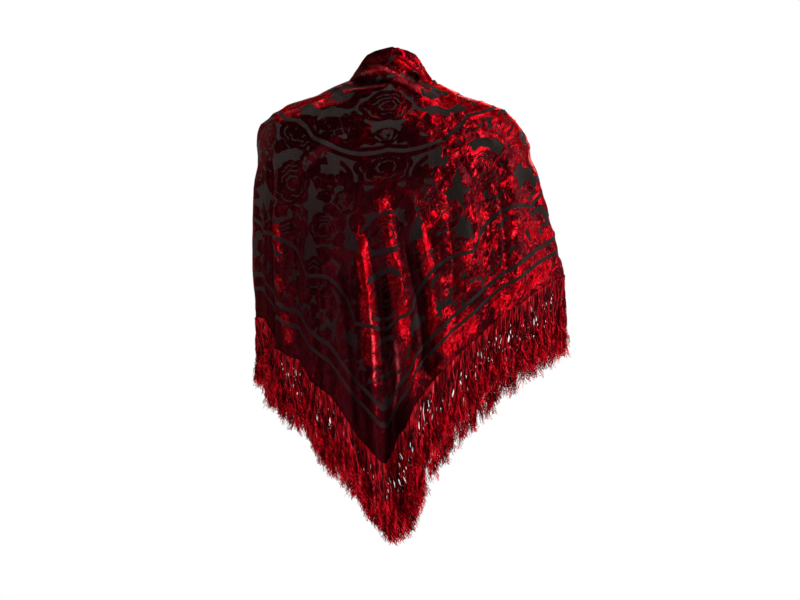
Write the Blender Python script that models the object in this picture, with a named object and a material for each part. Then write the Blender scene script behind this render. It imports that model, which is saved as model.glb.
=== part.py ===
"""Fringed velvet shawl, worn round the shoulders and hanging from the neck.

The cloth is one square folded corner to corner, so a triangle shows: its folded
edge stands round the neck, one corner hangs at the back and two hang in front.
Every point of the cloth is worked out from rings round the body, a top edge, a hem
and a short table of folds. Metres, +Z up, the wearer faces +Y, and the origin is the
middle of the neck at its base.
"""
import bmesh
import bpy
import numpy as np

# Driving dimensions
WALL = 0.0016
SEAM_GAP = 0.0003
NECK_BAND = 0.024
NECK_BASE = -0.010
FRONT_EDGE_AT_NECK = 0.062
FRONT_EDGE_BELOW = 0.076

# Fringe
STRANDS_PER_STRIP = 22
STRAND_END_SCALE = 0.62
STRAND_LEVELS = (0.45, 1.0)
STRIP_HEIGHT = 0.005
STRIP_WALL = 0.0022
STRIP_GAP = 0.0008
STRIP_END_MARGIN = 0.35
SWAY = 0.0062
SWAY_DEPTHWISE = 0.003
SWAY_WAVES = 5.8
SWAY_PHASE = 0.7

# How long the strands hang and how far they have swung to the right, by share round the hem
STRAND_FALL = (
    (-1.00, 0.140, 0.000), (-0.68, 0.140, 0.000), (-0.56, 0.122, 0.004), (-0.47, 0.110, 0.009),
    (-0.38, 0.130, 0.015), (-0.26, 0.148, 0.021), (-0.12, 0.150, 0.026), (0.00, 0.138, 0.029),
    (0.08, 0.142, 0.025), (0.16, 0.126, 0.016), (0.26, 0.122, 0.008), (0.36, 0.128, 0.003),
    (0.48, 0.140, 0.004), (0.56, 0.150, 0.000), (0.70, 0.142, 0.000), (1.00, 0.140, 0.000),
)

# Rings round the body: height, reach to the left and right, behind and ahead,
# and squareness of the ring
RINGS = (
    (0.080, 0.073, 0.071, 0.064, 0.058, 2.00),
    (0.014, 0.077, 0.075, 0.069, 0.062, 2.00),
    (0.000, 0.108, 0.098, 0.075, 0.064, 2.00),
    (-0.014, 0.133, 0.122, 0.081, 0.068, 2.05),
    (-0.028, 0.178, 0.164, 0.087, 0.073, 2.10),
    (-0.042, 0.210, 0.201, 0.093, 0.079, 2.20),
    (-0.063, 0.229, 0.224, 0.102, 0.087, 2.30),
    (-0.100, 0.236, 0.240, 0.116, 0.100, 2.40),
    (-0.160, 0.238, 0.257, 0.127, 0.115, 2.50),
    (-0.250, 0.239, 0.276, 0.131, 0.127, 2.50),
    (-0.318, 0.238, 0.299, 0.132, 0.130, 2.50),
    (-0.400, 0.233, 0.301, 0.132, 0.130, 2.50),
    (-0.700, 0.226, 0.290, 0.130, 0.124, 2.50),
)

# Top edge: angle round the neck from the middle of the back, height
TOP_EDGE = (
    (0, 0.070), (24, 0.063), (37, 0.056), (44, 0.047), (53, 0.035),
    (67, 0.021), (81, 0.014), (100, 0.002), (125, -0.014), (158, -0.030),
)

# Hem behind, from the left side to the right side: across, height
HEM_BEHIND = (
    (-0.2335, -0.402), (-0.222, -0.404), (-0.214, -0.430), (-0.206, -0.455), (-0.161, -0.476),
    (-0.143, -0.514), (-0.108, -0.537), (-0.093, -0.556), (-0.059, -0.611), (-0.040, -0.630),
    (-0.020, -0.653), (-0.008, -0.656), (0.002, -0.636), (0.014, -0.607), (0.026, -0.592),
    (0.040, -0.555), (0.066, -0.520), (0.101, -0.480), (0.191, -0.399), (0.259, -0.353),
    (0.300, -0.315),
)

# Hem in front, from each side to the front corner: across, height
HEM_AHEAD_LEFT = (
    (-0.2335, -0.402), (-0.205, -0.430), (-0.161, -0.470), (-0.120, -0.525), (-0.076, -0.600),
)
HEM_AHEAD_RIGHT = (
    (0.300, -0.315), (0.286, -0.344), (0.232, -0.386), (0.158, -0.450), (0.112, -0.506),
    (0.076, -0.566),
)

# Folds behind: height of the fold, half width, fade at its start and end,
# and its line as across, height
FOLDS_BEHIND = (
    (0.011, 0.019, 0.060, 0.000, ((-0.059, -0.269), (-0.040, -0.362), (-0.033, -0.440),
                                  (-0.032, -0.546), (-0.026, -0.604), (-0.021, -0.680))),
    (-0.013, 0.018, 0.070, 0.110, ((-0.026, -0.290), (-0.017, -0.371), (-0.010, -0.470),
                                   (-0.004, -0.574))),
    (-0.025, 0.023, 0.130, 0.000, ((-0.006, -0.470), (0.003, -0.560), (0.008, -0.720))),
    (0.010, 0.016, 0.050, 0.060, ((-0.005, -0.196), (-0.003, -0.266), (0.009, -0.310),
                                  (0.019, -0.355), (0.028, -0.423))),
    (0.009, 0.016, 0.040, 0.050, ((0.045, -0.241), (0.058, -0.280), (0.066, -0.337))),
    (-0.015, 0.020, 0.070, 0.040, ((0.030, -0.231), (0.046, -0.335), (0.056, -0.412),
                                   (0.068, -0.470), (0.074, -0.520))),
    (0.010, 0.018, 0.050, 0.000, ((0.046, -0.415), (0.040, -0.500), (0.034, -0.600))),
    (0.010, 0.020, 0.060, 0.030, ((0.094, -0.380), (0.092, -0.440), (0.088, -0.500))),
    (-0.009, 0.018, 0.060, 0.000, ((-0.078, -0.270), (-0.070, -0.400), (-0.060, -0.520),
                                   (-0.050, -0.620))),
    (0.008, 0.024, 0.080, 0.000, ((-0.116, -0.150), (-0.106, -0.330), (-0.090, -0.480),
                                  (-0.078, -0.580))),
    (-0.008, 0.022, 0.080, 0.000, ((-0.156, -0.190), (-0.150, -0.330), (-0.134, -0.520))),
    (0.009, 0.020, 0.060, 0.000, ((-0.192, -0.140), (-0.198, -0.230), (-0.190, -0.340),
                                  (-0.172, -0.490))),
    (-0.009, 0.014, 0.060, 0.000, ((-0.213, -0.110), (-0.214, -0.260), (-0.212, -0.460))),
    (0.008, 0.026, 0.060, 0.060, ((0.108, -0.110), (0.126, -0.230), (0.132, -0.330),
                                  (0.128, -0.430))),
    (-0.007, 0.024, 0.060, 0.000, ((0.156, -0.120), (0.168, -0.250), (0.172, -0.430))),
    (0.008, 0.024, 0.060, 0.000, ((0.196, -0.090), (0.212, -0.220), (0.222, -0.400))),
    (0.007, 0.020, 0.040, 0.060, ((-0.070, -0.060), (-0.110, -0.090), (-0.160, -0.130),
                                  (-0.190, -0.190))),
    (-0.006, 0.018, 0.040, 0.060, ((0.040, -0.060), (0.090, -0.090), (0.140, -0.110))),
    (-0.006, 0.016, 0.030, 0.030, ((-0.085, 0.004), (-0.050, 0.008), (0.000, 0.012),
                                   (0.045, 0.010), (0.070, 0.000))),
    (0.005, 0.015, 0.030, 0.030, ((-0.091, -0.009), (-0.051, -0.005), (-0.016, -0.001),
                                  (0.010, 0.004))),
    (0.007, 0.017, 0.020, 0.040, ((-0.026, 0.040), (-0.009, 0.033), (0.024, 0.014),
                                  (0.054, -0.008), (0.082, -0.021), (0.103, -0.037))),
)

# Folds round the sides and in front: height, half width, fades,
# and the line as degrees from the middle of the back, height
FOLDS_ROUND = (
    (0.009, 0.026, 0.060, 0.000, ((-78, -0.120), (-80, -0.250), (-84, -0.420))),
    (-0.009, 0.024, 0.070, 0.000, ((-99, -0.110), (-97, -0.260), (-100, -0.440))),
    (0.012, 0.026, 0.060, 0.000, ((-117, -0.090), (-116, -0.260), (-120, -0.470))),
    (-0.012, 0.024, 0.070, 0.000, ((-131, -0.110), (-132, -0.300), (-136, -0.520))),
    (0.013, 0.022, 0.050, 0.000, ((-142, -0.060), (-144, -0.250), (-149, -0.580))),
    (-0.010, 0.018, 0.060, 0.000, ((-151, -0.110), (-155, -0.330), (-160, -0.620))),
    (0.010, 0.024, 0.060, 0.000, ((70, -0.110), (76, -0.220), (80, -0.360))),
    (-0.009, 0.022, 0.060, 0.000, ((90, -0.120), (94, -0.250), (97, -0.390))),
    (0.012, 0.026, 0.060, 0.000, ((106, -0.090), (110, -0.230), (114, -0.430))),
    (-0.011, 0.024, 0.060, 0.000, ((122, -0.110), (127, -0.280), (131, -0.480))),
    (0.012, 0.022, 0.050, 0.000, ((135, -0.070), (140, -0.270), (145, -0.560))),
    (-0.012, 0.020, 0.060, 0.000, ((147, -0.120), (152, -0.340), (156, -0.620))),
    (0.008, 0.016, 0.060, 0.000, ((160, -0.150), (163, -0.400), (165, -0.680))),
)

# Columns of cells: how they draw together and slant with the folds of the back
BACK_SHARE = 0.34
CENTRE_DENSITY = 0.055
SLANT = 0.14
SLANT_START = 0.35

# Stretches of the cloth: start and end round the body as a share of each half,
# columns and colour
STRETCHES = (
    ("left_front_fall", -1.00, -0.72, 9, (0.16, 0.002, 0.008)),
    ("left_side_fall", -0.72, -BACK_SHARE, 12, (0.19, 0.002, 0.009)),
    ("back_fall", -BACK_SHARE, BACK_SHARE, 36, (0.24, 0.002, 0.010)),
    ("right_side_fall", BACK_SHARE, 0.72, 13, (0.30, 0.003, 0.012)),
    ("right_front_fall", 0.72, 1.00, 9, (0.16, 0.002, 0.008)),
)
FALL_ROWS = 22
NECK_ROWS = 6
NECK_COLOUR = (0.27, 0.002, 0.011)

# Fringe strips: start and end as a share of each half
STRIPS = (
    ("fringe_left_front", -1.00, -0.76),
    ("fringe_left_side", -0.76, -0.50),
    ("fringe_left_shoulder", -0.50, -0.25),
    ("fringe_left_back", -0.25, 0.00),
    ("fringe_right_back", 0.00, 0.25),
    ("fringe_right_shoulder", 0.25, 0.50),
    ("fringe_right_side", 0.50, 0.76),
    ("fringe_right_front", 0.76, 1.00),
)
FRINGE_COLOUR = (0.42, 0.003, 0.012)
CLOTH_ROUGHNESS = 0.6

# Fineness of the worked-out surface
LATTICE_COLUMNS = 561
LATTICE_ROWS = 361
RING_STEPS = 721
HEIGHT_STEPS = 321
SHORT_STEP = 0.002


def ring_sizes(height):
    """Reach to each side, behind and ahead, and squareness, at a height."""
    table = np.array(RINGS)[::-1]
    return [np.interp(height, table[:, 0], table[:, column]) for column in range(1, 6)]


def front_edge(height):
    """How far each front edge hangs from the middle of the chest."""
    return np.interp(-height, (0.02, 0.12), (FRONT_EDGE_AT_NECK, FRONT_EDGE_BELOW))


def half_ring(height, side):
    """One half ring from the middle of the back: angle, across, depth and length."""
    left, right, behind, ahead, squareness = ring_sizes(height)
    reach = right if side > 0 else left
    angle = np.linspace(0.0, np.pi, RING_STEPS)
    power = 2.0 / squareness
    across = reach * np.abs(np.sin(angle)) ** power
    depth = np.where(angle < np.pi / 2, -behind, ahead) * np.abs(np.cos(angle)) ** power
    length = np.concatenate(([0.0], np.cumsum(np.hypot(np.diff(across), np.diff(depth)))))
    return angle, across, depth, length


def ring_end(height, side):
    """Length of a half ring up to its front edge."""
    angle, across, depth, length = half_ring(height, side)
    ahead = angle > np.pi / 2
    return np.interp(-front_edge(height), -across[ahead], length[ahead])


def length_at_across(across_now, height, ahead):
    """Length round the body to a place that is this far across."""
    side = 1 if across_now > 0 else -1
    angle, across, depth, length = half_ring(height, side)
    if ahead:
        part = angle > np.pi / 2
        found = np.interp(-abs(across_now), -across[part], length[part])
    else:
        part = angle <= np.pi / 2
        found = np.interp(abs(across_now), across[part], length[part])
    return side * found


def length_at_angle(degrees, height):
    """Length round the body to a place at this angle."""
    side = 1 if degrees > 0 else -1
    angle, across, depth, length = half_ring(height, side)
    return side * np.interp(np.radians(abs(degrees)), angle, length)


def share(length, height):
    """A length round the body as a share of its half."""
    return length / ring_end(height, 1 if length > 0 else -1)


def top_heights(shares):
    """Height of the top edge at each share."""
    places = [min(1.0, abs(share(length_at_angle(max(angle, 0.01), height), height)))
              for angle, height in TOP_EDGE]
    return np.interp(np.abs(shares), places, [row[1] for row in TOP_EDGE])


def hem_heights(shares):
    """Height of the hem at each share."""
    rows = [(share(length_at_across(across, height, True), height), height)
            for across, height in HEM_AHEAD_LEFT + HEM_AHEAD_RIGHT]
    rows += [(share(length_at_across(across, height, False), height), height)
             for across, height in HEM_BEHIND]
    rows.sort()
    return np.interp(shares, [row[0] for row in rows], [row[1] for row in rows])


def ring_table():
    """Across and depth of every ring, by height and by share of each half."""
    heights = np.linspace(RINGS[-1][0], RINGS[0][0], HEIGHT_STEPS)
    shares = np.linspace(-1.0, 1.0, LATTICE_COLUMNS)
    across = np.zeros((HEIGHT_STEPS, LATTICE_COLUMNS))
    depth = np.zeros_like(across)
    around = np.zeros_like(across)
    for row, height in enumerate(heights):
        for side in (-1, 1):
            angle, ring_across, ring_depth, length = half_ring(height, side)
            here = shares * side >= 0
            reach = np.abs(shares[here]) * ring_end(height, side)
            across[row, here] = side * np.interp(reach, length, ring_across)
            depth[row, here] = np.interp(reach, length, ring_depth)
            around[row, here] = side * reach
    return heights, shares, across, depth, around


def distance_to_line(around, height, line):
    """Distance to a fold's line, and how far along the line the nearest point is."""
    best = np.full(around.shape, np.inf)
    along = np.zeros(around.shape)
    run = 0.0
    for (a0, z0), (a1, z1) in zip(line[:-1], line[1:]):
        step = np.hypot(a1 - a0, z1 - z0)
        place = ((around - a0) * (a1 - a0) + (height - z0) * (z1 - z0)) / step ** 2
        place = np.clip(place, 0.0, 1.0)
        gap = np.hypot(around - a0 - place * (a1 - a0), height - z0 - place * (z1 - z0))
        nearer = gap < best
        best = np.where(nearer, gap, best)
        along = np.where(nearer, run + place * step, along)
        run += step
    return best, along, run


def fold_lift(around, height):
    """How far the folds lift the cloth off its ring."""
    lift = np.zeros(around.shape)
    lines = [(fold[:4], [(length_at_across(x, z, False), z) for x, z in fold[4]])
             for fold in FOLDS_BEHIND]
    lines += [(fold[:4], [(length_at_angle(degrees, z), z) for degrees, z in fold[4]])
              for fold in FOLDS_ROUND]
    for (size, half_width, fade_in, fade_out), line in lines:
        gap, along, run = distance_to_line(around, height, line)
        bump = 0.5 + 0.5 * np.cos(np.pi * np.clip(gap / half_width, 0.0, 1.0))
        if fade_in > 0:
            bump = bump * np.sin(np.pi / 2 * np.clip(along / fade_in, 0.0, 1.0)) ** 2
        if fade_out > 0:
            bump = bump * np.sin(np.pi / 2 * np.clip((run - along) / fade_out, 0.0, 1.0)) ** 2
        lift += size * bump
    return lift


def surface_normals(points):
    """Outward normals of a lattice of points."""
    down = np.gradient(points, axis=0)
    right = np.gradient(points, axis=1)
    normal = np.cross(down, right)
    return normal / np.linalg.norm(normal, axis=2, keepdims=True)


def cloth_lattice():
    """Points and normals of the cloth by row down each fall and by share."""
    heights, shares, ring_across, ring_depth, ring_around = ring_table()
    top = top_heights(shares)
    hem = hem_heights(shares)
    fine = np.linspace(0.0, 1.0, 2 * LATTICE_ROWS)
    rows = np.linspace(0.0, 1.0, LATTICE_ROWS)
    points = np.zeros((LATTICE_ROWS, LATTICE_COLUMNS, 3))
    around = np.zeros((LATTICE_ROWS, LATTICE_COLUMNS))
    lengths = np.zeros(LATTICE_COLUMNS)
    for column in range(LATTICE_COLUMNS):
        z = top[column] + (hem[column] - top[column]) * fine
        x = np.interp(z, heights, ring_across[:, column])
        y = np.interp(z, heights, ring_depth[:, column])
        step = np.sqrt(np.diff(x) ** 2 + np.diff(y) ** 2 + np.diff(z) ** 2)
        length = np.concatenate(([0.0], np.cumsum(step)))
        lengths[column] = length[-1]
        level = np.interp(rows * length[-1], length, z)
        points[:, column, 0] = np.interp(level, heights, ring_across[:, column])
        points[:, column, 1] = np.interp(level, heights, ring_depth[:, column])
        points[:, column, 2] = level
        around[:, column] = np.interp(level, heights, ring_around[:, column])
    lift = fold_lift(around, points[:, :, 2])
    points += surface_normals(points) * lift[:, :, None]
    return shares, points, surface_normals(points), lengths


def neck_rows(shares, points, lengths):
    """Share of each fall that the roll round the neck takes."""
    rows = np.linspace(0.0, 1.0, LATTICE_ROWS)
    taken = np.zeros(len(shares))
    for column in range(len(shares)):
        taken[column] = np.interp(-NECK_BASE, -points[:, column, 2], rows)
    return np.maximum(taken, NECK_BAND / lengths)


class Cloth:
    """The draped surface, read at any share round the body and any share down."""

    def __init__(self):
        self.shares, self.points, self.normals, self.lengths = cloth_lattice()
        self.neck = neck_rows(self.shares, self.points, self.lengths)

    def read(self, table, around, down):
        column = (np.clip(around, -1.0, 1.0) + 1.0) / 2.0 * (LATTICE_COLUMNS - 1)
        row = np.clip(down, 0.0, 1.0) * (LATTICE_ROWS - 1)
        c0 = min(int(column), LATTICE_COLUMNS - 2)
        r0 = min(int(row), LATTICE_ROWS - 2)
        fc = column - c0
        fr = row - r0
        upper = table[r0, c0] * (1 - fc) + table[r0, c0 + 1] * fc
        lower = table[r0 + 1, c0] * (1 - fc) + table[r0 + 1, c0 + 1] * fc
        return upper * (1 - fr) + lower * fr

    def point(self, around, down, inward=0.0):
        normal = self.read(self.normals, around, down)
        normal = normal / np.linalg.norm(normal)
        return self.read(self.points, around, down) - normal * inward

    def fall_length(self, around):
        return float(np.interp(around, self.shares, self.lengths))

    def neck_share(self, around):
        return float(np.interp(around, self.shares, self.neck))


def make_material(name, colour):
    material = bpy.data.materials.new(name)
    material.use_nodes = True
    shader = material.node_tree.nodes["Principled BSDF"]
    shader.inputs["Base Color"].default_value = (*colour, 1.0)
    shader.inputs["Roughness"].default_value = CLOTH_ROUGHNESS
    shader.inputs["Metallic"].default_value = 0.0
    return material


def add_object(name, mesh_builder, colour, collection):
    mesh = bpy.data.meshes.new(name)
    mesh_builder.to_mesh(mesh)
    mesh_builder.free()
    mesh.shade_smooth()
    mesh.materials.append(make_material(name, colour))
    made = bpy.data.objects.new(name, mesh)
    collection.objects.link(made)
    return made


def flat_slab(columns, rows):
    """A flat closed slab, one unit square, with an outer layer at 0 and an inner at -1."""
    slab = bmesh.new()
    bmesh.ops.create_grid(slab, x_segments=columns, y_segments=rows, size=0.5)
    bmesh.ops.translate(slab, verts=slab.verts[:], vec=(0.5, 0.5, 0.0))
    grown = bmesh.ops.extrude_face_region(slab, geom=slab.faces[:], use_keep_orig=True)
    inner = [item for item in grown["geom"] if isinstance(item, bmesh.types.BMVert)]
    bmesh.ops.translate(slab, verts=inner, vec=(0.0, 0.0, -1.0))
    bmesh.ops.recalc_face_normals(slab, faces=slab.faces[:])
    return slab


def face_outwards(solid):
    bmesh.ops.recalc_face_normals(solid, faces=solid.faces[:])
    if solid.calc_volume(signed=True) < 0:
        bmesh.ops.reverse_faces(solid, faces=solid.faces[:])


def column_shares(start, end, columns):
    """Where a stretch's columns lie, drawn together over the deep folds of the back."""
    position = np.linspace(0.0, 1.0, columns + 1)
    if start == -end:
        position = position - CENTRE_DENSITY * np.sin(2.0 * np.pi * position)
    return start + (end - start) * position


def slanted(around, down):
    """A column's share further down, where the columns of the back follow its folds."""
    inside = max(0.0, 1.0 - (around / BACK_SHARE) ** 2) ** 2
    return around + SLANT * max(0.0, down - SLANT_START) * inside


def all_columns():
    """The columns of every stretch in turn, without the repeats at the seams."""
    found = [column_shares(*row[1:4])[:-1] for row in STRETCHES]
    return np.concatenate(found + [np.array([1.0])])


def seam_shift(cloth, around, down, along_around):
    """Half a seam's gap in shares, measured square to the seam."""
    inside = min(max(around, SHORT_STEP - 1.0), 1.0 - SHORT_STEP)
    middle = cloth.point(inside, down)
    to_side = (cloth.point(inside + SHORT_STEP, down) - middle) / SHORT_STEP
    step = SHORT_STEP if down < 0.5 else -SHORT_STEP
    to_hem = (cloth.point(inside, down + step) - middle) / step
    area = np.linalg.norm(np.cross(to_side, to_hem))
    across = np.linalg.norm(to_hem if along_around else to_side)
    return SEAM_GAP / 2 * across / area


def make_stretch(cloth, row, collection):
    """One stretch of cloth between two lines down the body, below the neck roll."""
    name, start, end, columns, colour = row
    shares = column_shares(start, end, columns)
    slab = flat_slab(columns, FALL_ROWS)
    for vert in slab.verts:
        column = round(vert.co.x * columns)
        around = shares[column]
        top = cloth.neck_share(around)
        down = top + (1.0 - top) * (1.0 - vert.co.y)
        if vert.co.y > 1.0 - 1e-6:
            down += seam_shift(cloth, around, down, False)
        if column == 0 and start > -1.0:
            around += seam_shift(cloth, around, down, True)
        if column == columns and end < 1.0:
            around -= seam_shift(cloth, around, down, True)
        around = slanted(around, down)
        vert.co = cloth.point(around, down, -vert.co.z * WALL)
    face_outwards(slab)
    return add_object(name, slab, colour, collection)


def make_neck_roll(cloth, collection):
    """The folded edge that stands round the neck."""
    shares = all_columns()
    slab = flat_slab(len(shares) - 1, NECK_ROWS)
    for vert in slab.verts:
        around = shares[round(vert.co.x * (len(shares) - 1))]
        down = cloth.neck_share(around) * (1.0 - vert.co.y)
        if vert.co.y < 1e-6:
            down -= seam_shift(cloth, around, down, False)
        vert.co = cloth.point(around, down, -vert.co.z * WALL)
    face_outwards(slab)
    return add_object("neck_roll", slab, NECK_COLOUR, collection)


class Hem:
    """The hem as the straight runs between the cloth's columns."""

    def __init__(self, cloth):
        self.shares = np.array([slanted(column, 1.0) for column in all_columns()])
        self.points = np.array([cloth.point(share_now, 1.0) for share_now in self.shares])
        above = np.array([cloth.point(share_now, 1.0 - 1.0 / FALL_ROWS)
                          for share_now in self.shares])
        self.normals = np.array([cloth.read(cloth.normals, share_now, 1.0)
                                 for share_now in self.shares])
        down = self.points - above
        square = np.cross(np.gradient(self.points, axis=0), self.normals)
        self.downs = (down / np.linalg.norm(down, axis=1, keepdims=True)
                      + square / np.linalg.norm(square, axis=1, keepdims=True))
        self.downs /= np.linalg.norm(self.downs, axis=1, keepdims=True)

    def frame(self, around):
        """A point of the hem, the way down the cloth there and the way outwards."""
        found = [np.array([np.interp(around, self.shares, table[:, axis]) for axis in range(3)])
                 for table in (self.points, self.downs, self.normals)]
        return found[0], found[1], found[2] / np.linalg.norm(found[2])

    def strip_places(self, start, end, segments):
        """Even places along a strip, moved onto the hem's corners that they are near."""
        margin = STRIP_END_MARGIN * (end - start) / segments
        places = np.linspace(start + margin, end - margin, segments + 1)
        for corner in self.shares:
            nearest = int(np.argmin(np.abs(places - corner)))
            if 0 < nearest < segments:
                places[nearest] = corner
        return places


def strand_fall(around, share_down):
    """How far a strand has drifted across, in depth and down, this share below its root."""
    shares, falls, swings = zip(*STRAND_FALL)
    turn = 2.0 * np.pi * around * SWAY_WAVES
    sideways = SWAY * np.sin(turn + SWAY_PHASE) + np.interp(around, shares, swings)
    in_depth = SWAY_DEPTHWISE * np.cos(turn)
    return (sideways * share_down, in_depth * share_down,
            np.interp(around, shares, falls) * share_down)


def make_fringe(hem, name, start, end, collection):
    """A narrow strip under the hem, with strands drawn down from its lower face."""
    segments = 2 * STRANDS_PER_STRIP + 1
    places = hem.strip_places(start, end, segments)
    strip = flat_slab(segments, 1)
    roots = []
    for face in strip.faces:
        centre = face.calc_center_median()
        segment = int(centre.x * segments)
        if centre.y < 1e-6 and segment % 2 == 1:
            roots.append(((places[segment] + places[segment + 1]) / 2, face))
    for vert in strip.verts:
        point, down, normal = hem.frame(places[round(vert.co.x * segments)])
        drop = STRIP_GAP + STRIP_HEIGHT * (1.0 - vert.co.y)
        vert.co = point + down * drop + normal * (vert.co.z * STRIP_WALL)
    face_outwards(strip)
    for around, face in roots:
        corners = [vert.co.copy() for vert in face.verts]
        centre = face.calc_center_median()
        lower = face
        for level in STRAND_LEVELS:
            grown = bmesh.ops.extrude_discrete_faces(strip, faces=[lower])
            lower = grown["faces"][0]
            drift_across, drift_in_depth, depth = strand_fall(around, level)
            narrow = 1.0 + (STRAND_END_SCALE - 1.0) * level
            for vert, corner in zip(lower.verts, corners):
                offset = (corner - centre) * narrow
                offset.z = offset.z * (1.0 - level)
                vert.co = centre + offset
                vert.co.x += drift_across
                vert.co.y += drift_in_depth
                vert.co.z -= depth
    return add_object(name, strip, FRINGE_COLOUR, collection)


def clear_scene():
    for old in list(bpy.data.objects):
        bpy.data.objects.remove(old, do_unlink=True)


def main():
    clear_scene()
    collection = bpy.data.collections.new("fringed_velvet_shawl")
    bpy.context.scene.collection.children.link(collection)
    cloth = Cloth()
    make_neck_roll(cloth, collection)
    for row in STRETCHES:
        make_stretch(cloth, row, collection)
    hem = Hem(cloth)
    for name, start, end in STRIPS:
        make_fringe(hem, name, start, end, collection)


main()
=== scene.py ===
"""A worn velvet shawl with a burn-out flower pattern and a long twisted fringe.

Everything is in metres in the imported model's frame: +Z up, the front faces +Y, and
the origin is the middle of the neck at its base. The cloth is draped by the same
rings, hem and folds as its solids, with finer folds and crinkles on top.
"""

import bmesh
import bpy
import numpy as np
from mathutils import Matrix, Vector


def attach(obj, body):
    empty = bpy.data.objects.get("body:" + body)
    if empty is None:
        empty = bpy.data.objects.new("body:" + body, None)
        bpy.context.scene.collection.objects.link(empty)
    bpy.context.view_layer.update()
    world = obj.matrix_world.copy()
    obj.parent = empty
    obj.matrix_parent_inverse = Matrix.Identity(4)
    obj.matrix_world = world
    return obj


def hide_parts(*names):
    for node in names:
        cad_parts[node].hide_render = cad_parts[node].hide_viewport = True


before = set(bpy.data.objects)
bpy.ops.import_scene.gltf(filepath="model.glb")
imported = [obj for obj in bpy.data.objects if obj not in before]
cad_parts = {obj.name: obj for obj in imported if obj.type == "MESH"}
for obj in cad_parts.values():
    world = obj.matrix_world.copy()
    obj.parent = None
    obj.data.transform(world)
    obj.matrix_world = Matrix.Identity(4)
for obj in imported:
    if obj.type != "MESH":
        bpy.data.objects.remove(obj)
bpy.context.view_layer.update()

# The cut: a square folded corner to corner
HALF_DIAGONAL = 0.778
NECK_CUT_HALF = 0.19
FRONT_EDGE_DEPTHS = (0.02, 0.12)
FRONT_EDGE_GAPS = (0.062, 0.076)

# Fineness of the worked-out drape and of the meshes
LATTICE_COLUMNS = 961
LATTICE_ROWS = 521
RING_STEPS = 721
HEIGHT_STEPS = 321
PILE_RUNS = ((-1.00, -0.72, 42), (-0.72, -0.34, 68), (-0.34, 0.34, 182), (0.34, 0.72, 74),
             (0.72, 1.00, 42))
PILE_ROWS = 240
REVERSE_RUNS = ((-1.00, -0.72, 22), (-0.72, -0.34, 34), (-0.34, 0.34, 90), (0.34, 0.72, 38),
                (0.72, 1.00, 22))
REVERSE_ROWS = 120
CLOTH_THICKNESS = 0.0009
CORNER_SEARCH = 60

# Rolled edges: bends of the strip outwards and inwards, how finely they follow their path,
# and how far in the points lie that they turn away from
ROLL_RADIUS = 0.0022
ROLL_STEPS = 7
ROLL_TUCK = ((-0.006, 0.0040), (-0.012, 0.0030))
ROLL_SMOOTHING = 6
EDGE_STEPS = (150, 260)
HEM_STEPS = 701
EDGE_AIM = 0.01
FRONT_EDGE_AIM = 0.995
HEM_PROFILE = ((0.0, -0.0002), (0.0012, -0.0006), (0.0020, 0.0), (0.0018, 0.0012),
               (0.0006, 0.0018), (-0.0030, 0.0014))

# Rings that the cloth hangs round: height, reach to the left and right, behind and ahead,
# and squareness of the ring
RINGS = (
    (0.080, 0.073, 0.071, 0.064, 0.058, 2.00),
    (0.014, 0.077, 0.075, 0.069, 0.062, 2.00),
    (0.000, 0.108, 0.098, 0.075, 0.064, 2.00),
    (-0.014, 0.133, 0.122, 0.081, 0.068, 2.05),
    (-0.028, 0.178, 0.164, 0.087, 0.073, 2.10),
    (-0.042, 0.210, 0.201, 0.093, 0.079, 2.20),
    (-0.063, 0.229, 0.224, 0.102, 0.087, 2.30),
    (-0.100, 0.236, 0.240, 0.116, 0.100, 2.40),
    (-0.160, 0.238, 0.257, 0.127, 0.115, 2.50),
    (-0.250, 0.239, 0.276, 0.131, 0.127, 2.50),
    (-0.318, 0.238, 0.299, 0.132, 0.130, 2.50),
    (-0.400, 0.233, 0.301, 0.132, 0.130, 2.50),
    (-0.700, 0.226, 0.290, 0.130, 0.124, 2.50),
)

# Top edge: angle round the neck from the middle of the back, height
TOP_EDGE = (
    (0, 0.07), (24, 0.063), (37, 0.056), (44, 0.047), (53, 0.035), (67, 0.021), (81, 0.014),
    (100, 0.002), (125, -0.014), (158, -0.03),
)

# Hem behind, from the left side to the right side: across, height
HEM_BEHIND = (
    (-0.2335, -0.402), (-0.222, -0.404), (-0.214, -0.43), (-0.206, -0.455), (-0.161, -0.476),
    (-0.143, -0.514), (-0.108, -0.537), (-0.093, -0.556), (-0.059, -0.611), (-0.04, -0.63),
    (-0.02, -0.653), (-0.008, -0.656), (0.002, -0.636), (0.014, -0.607), (0.026, -0.592),
    (0.04, -0.555), (0.066, -0.52), (0.101, -0.48), (0.191, -0.399), (0.259, -0.353), (0.3, -0.315),
)

# Hem in front, from each side to the front corner: across, height
HEM_AHEAD_LEFT = (
    (-0.2335, -0.402), (-0.205, -0.43), (-0.161, -0.47), (-0.12, -0.525), (-0.076, -0.6),
)
HEM_AHEAD_RIGHT = (
    (0.3, -0.315), (0.286, -0.344), (0.232, -0.386), (0.158, -0.45), (0.112, -0.506), (0.076, -0.566),
)

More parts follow.
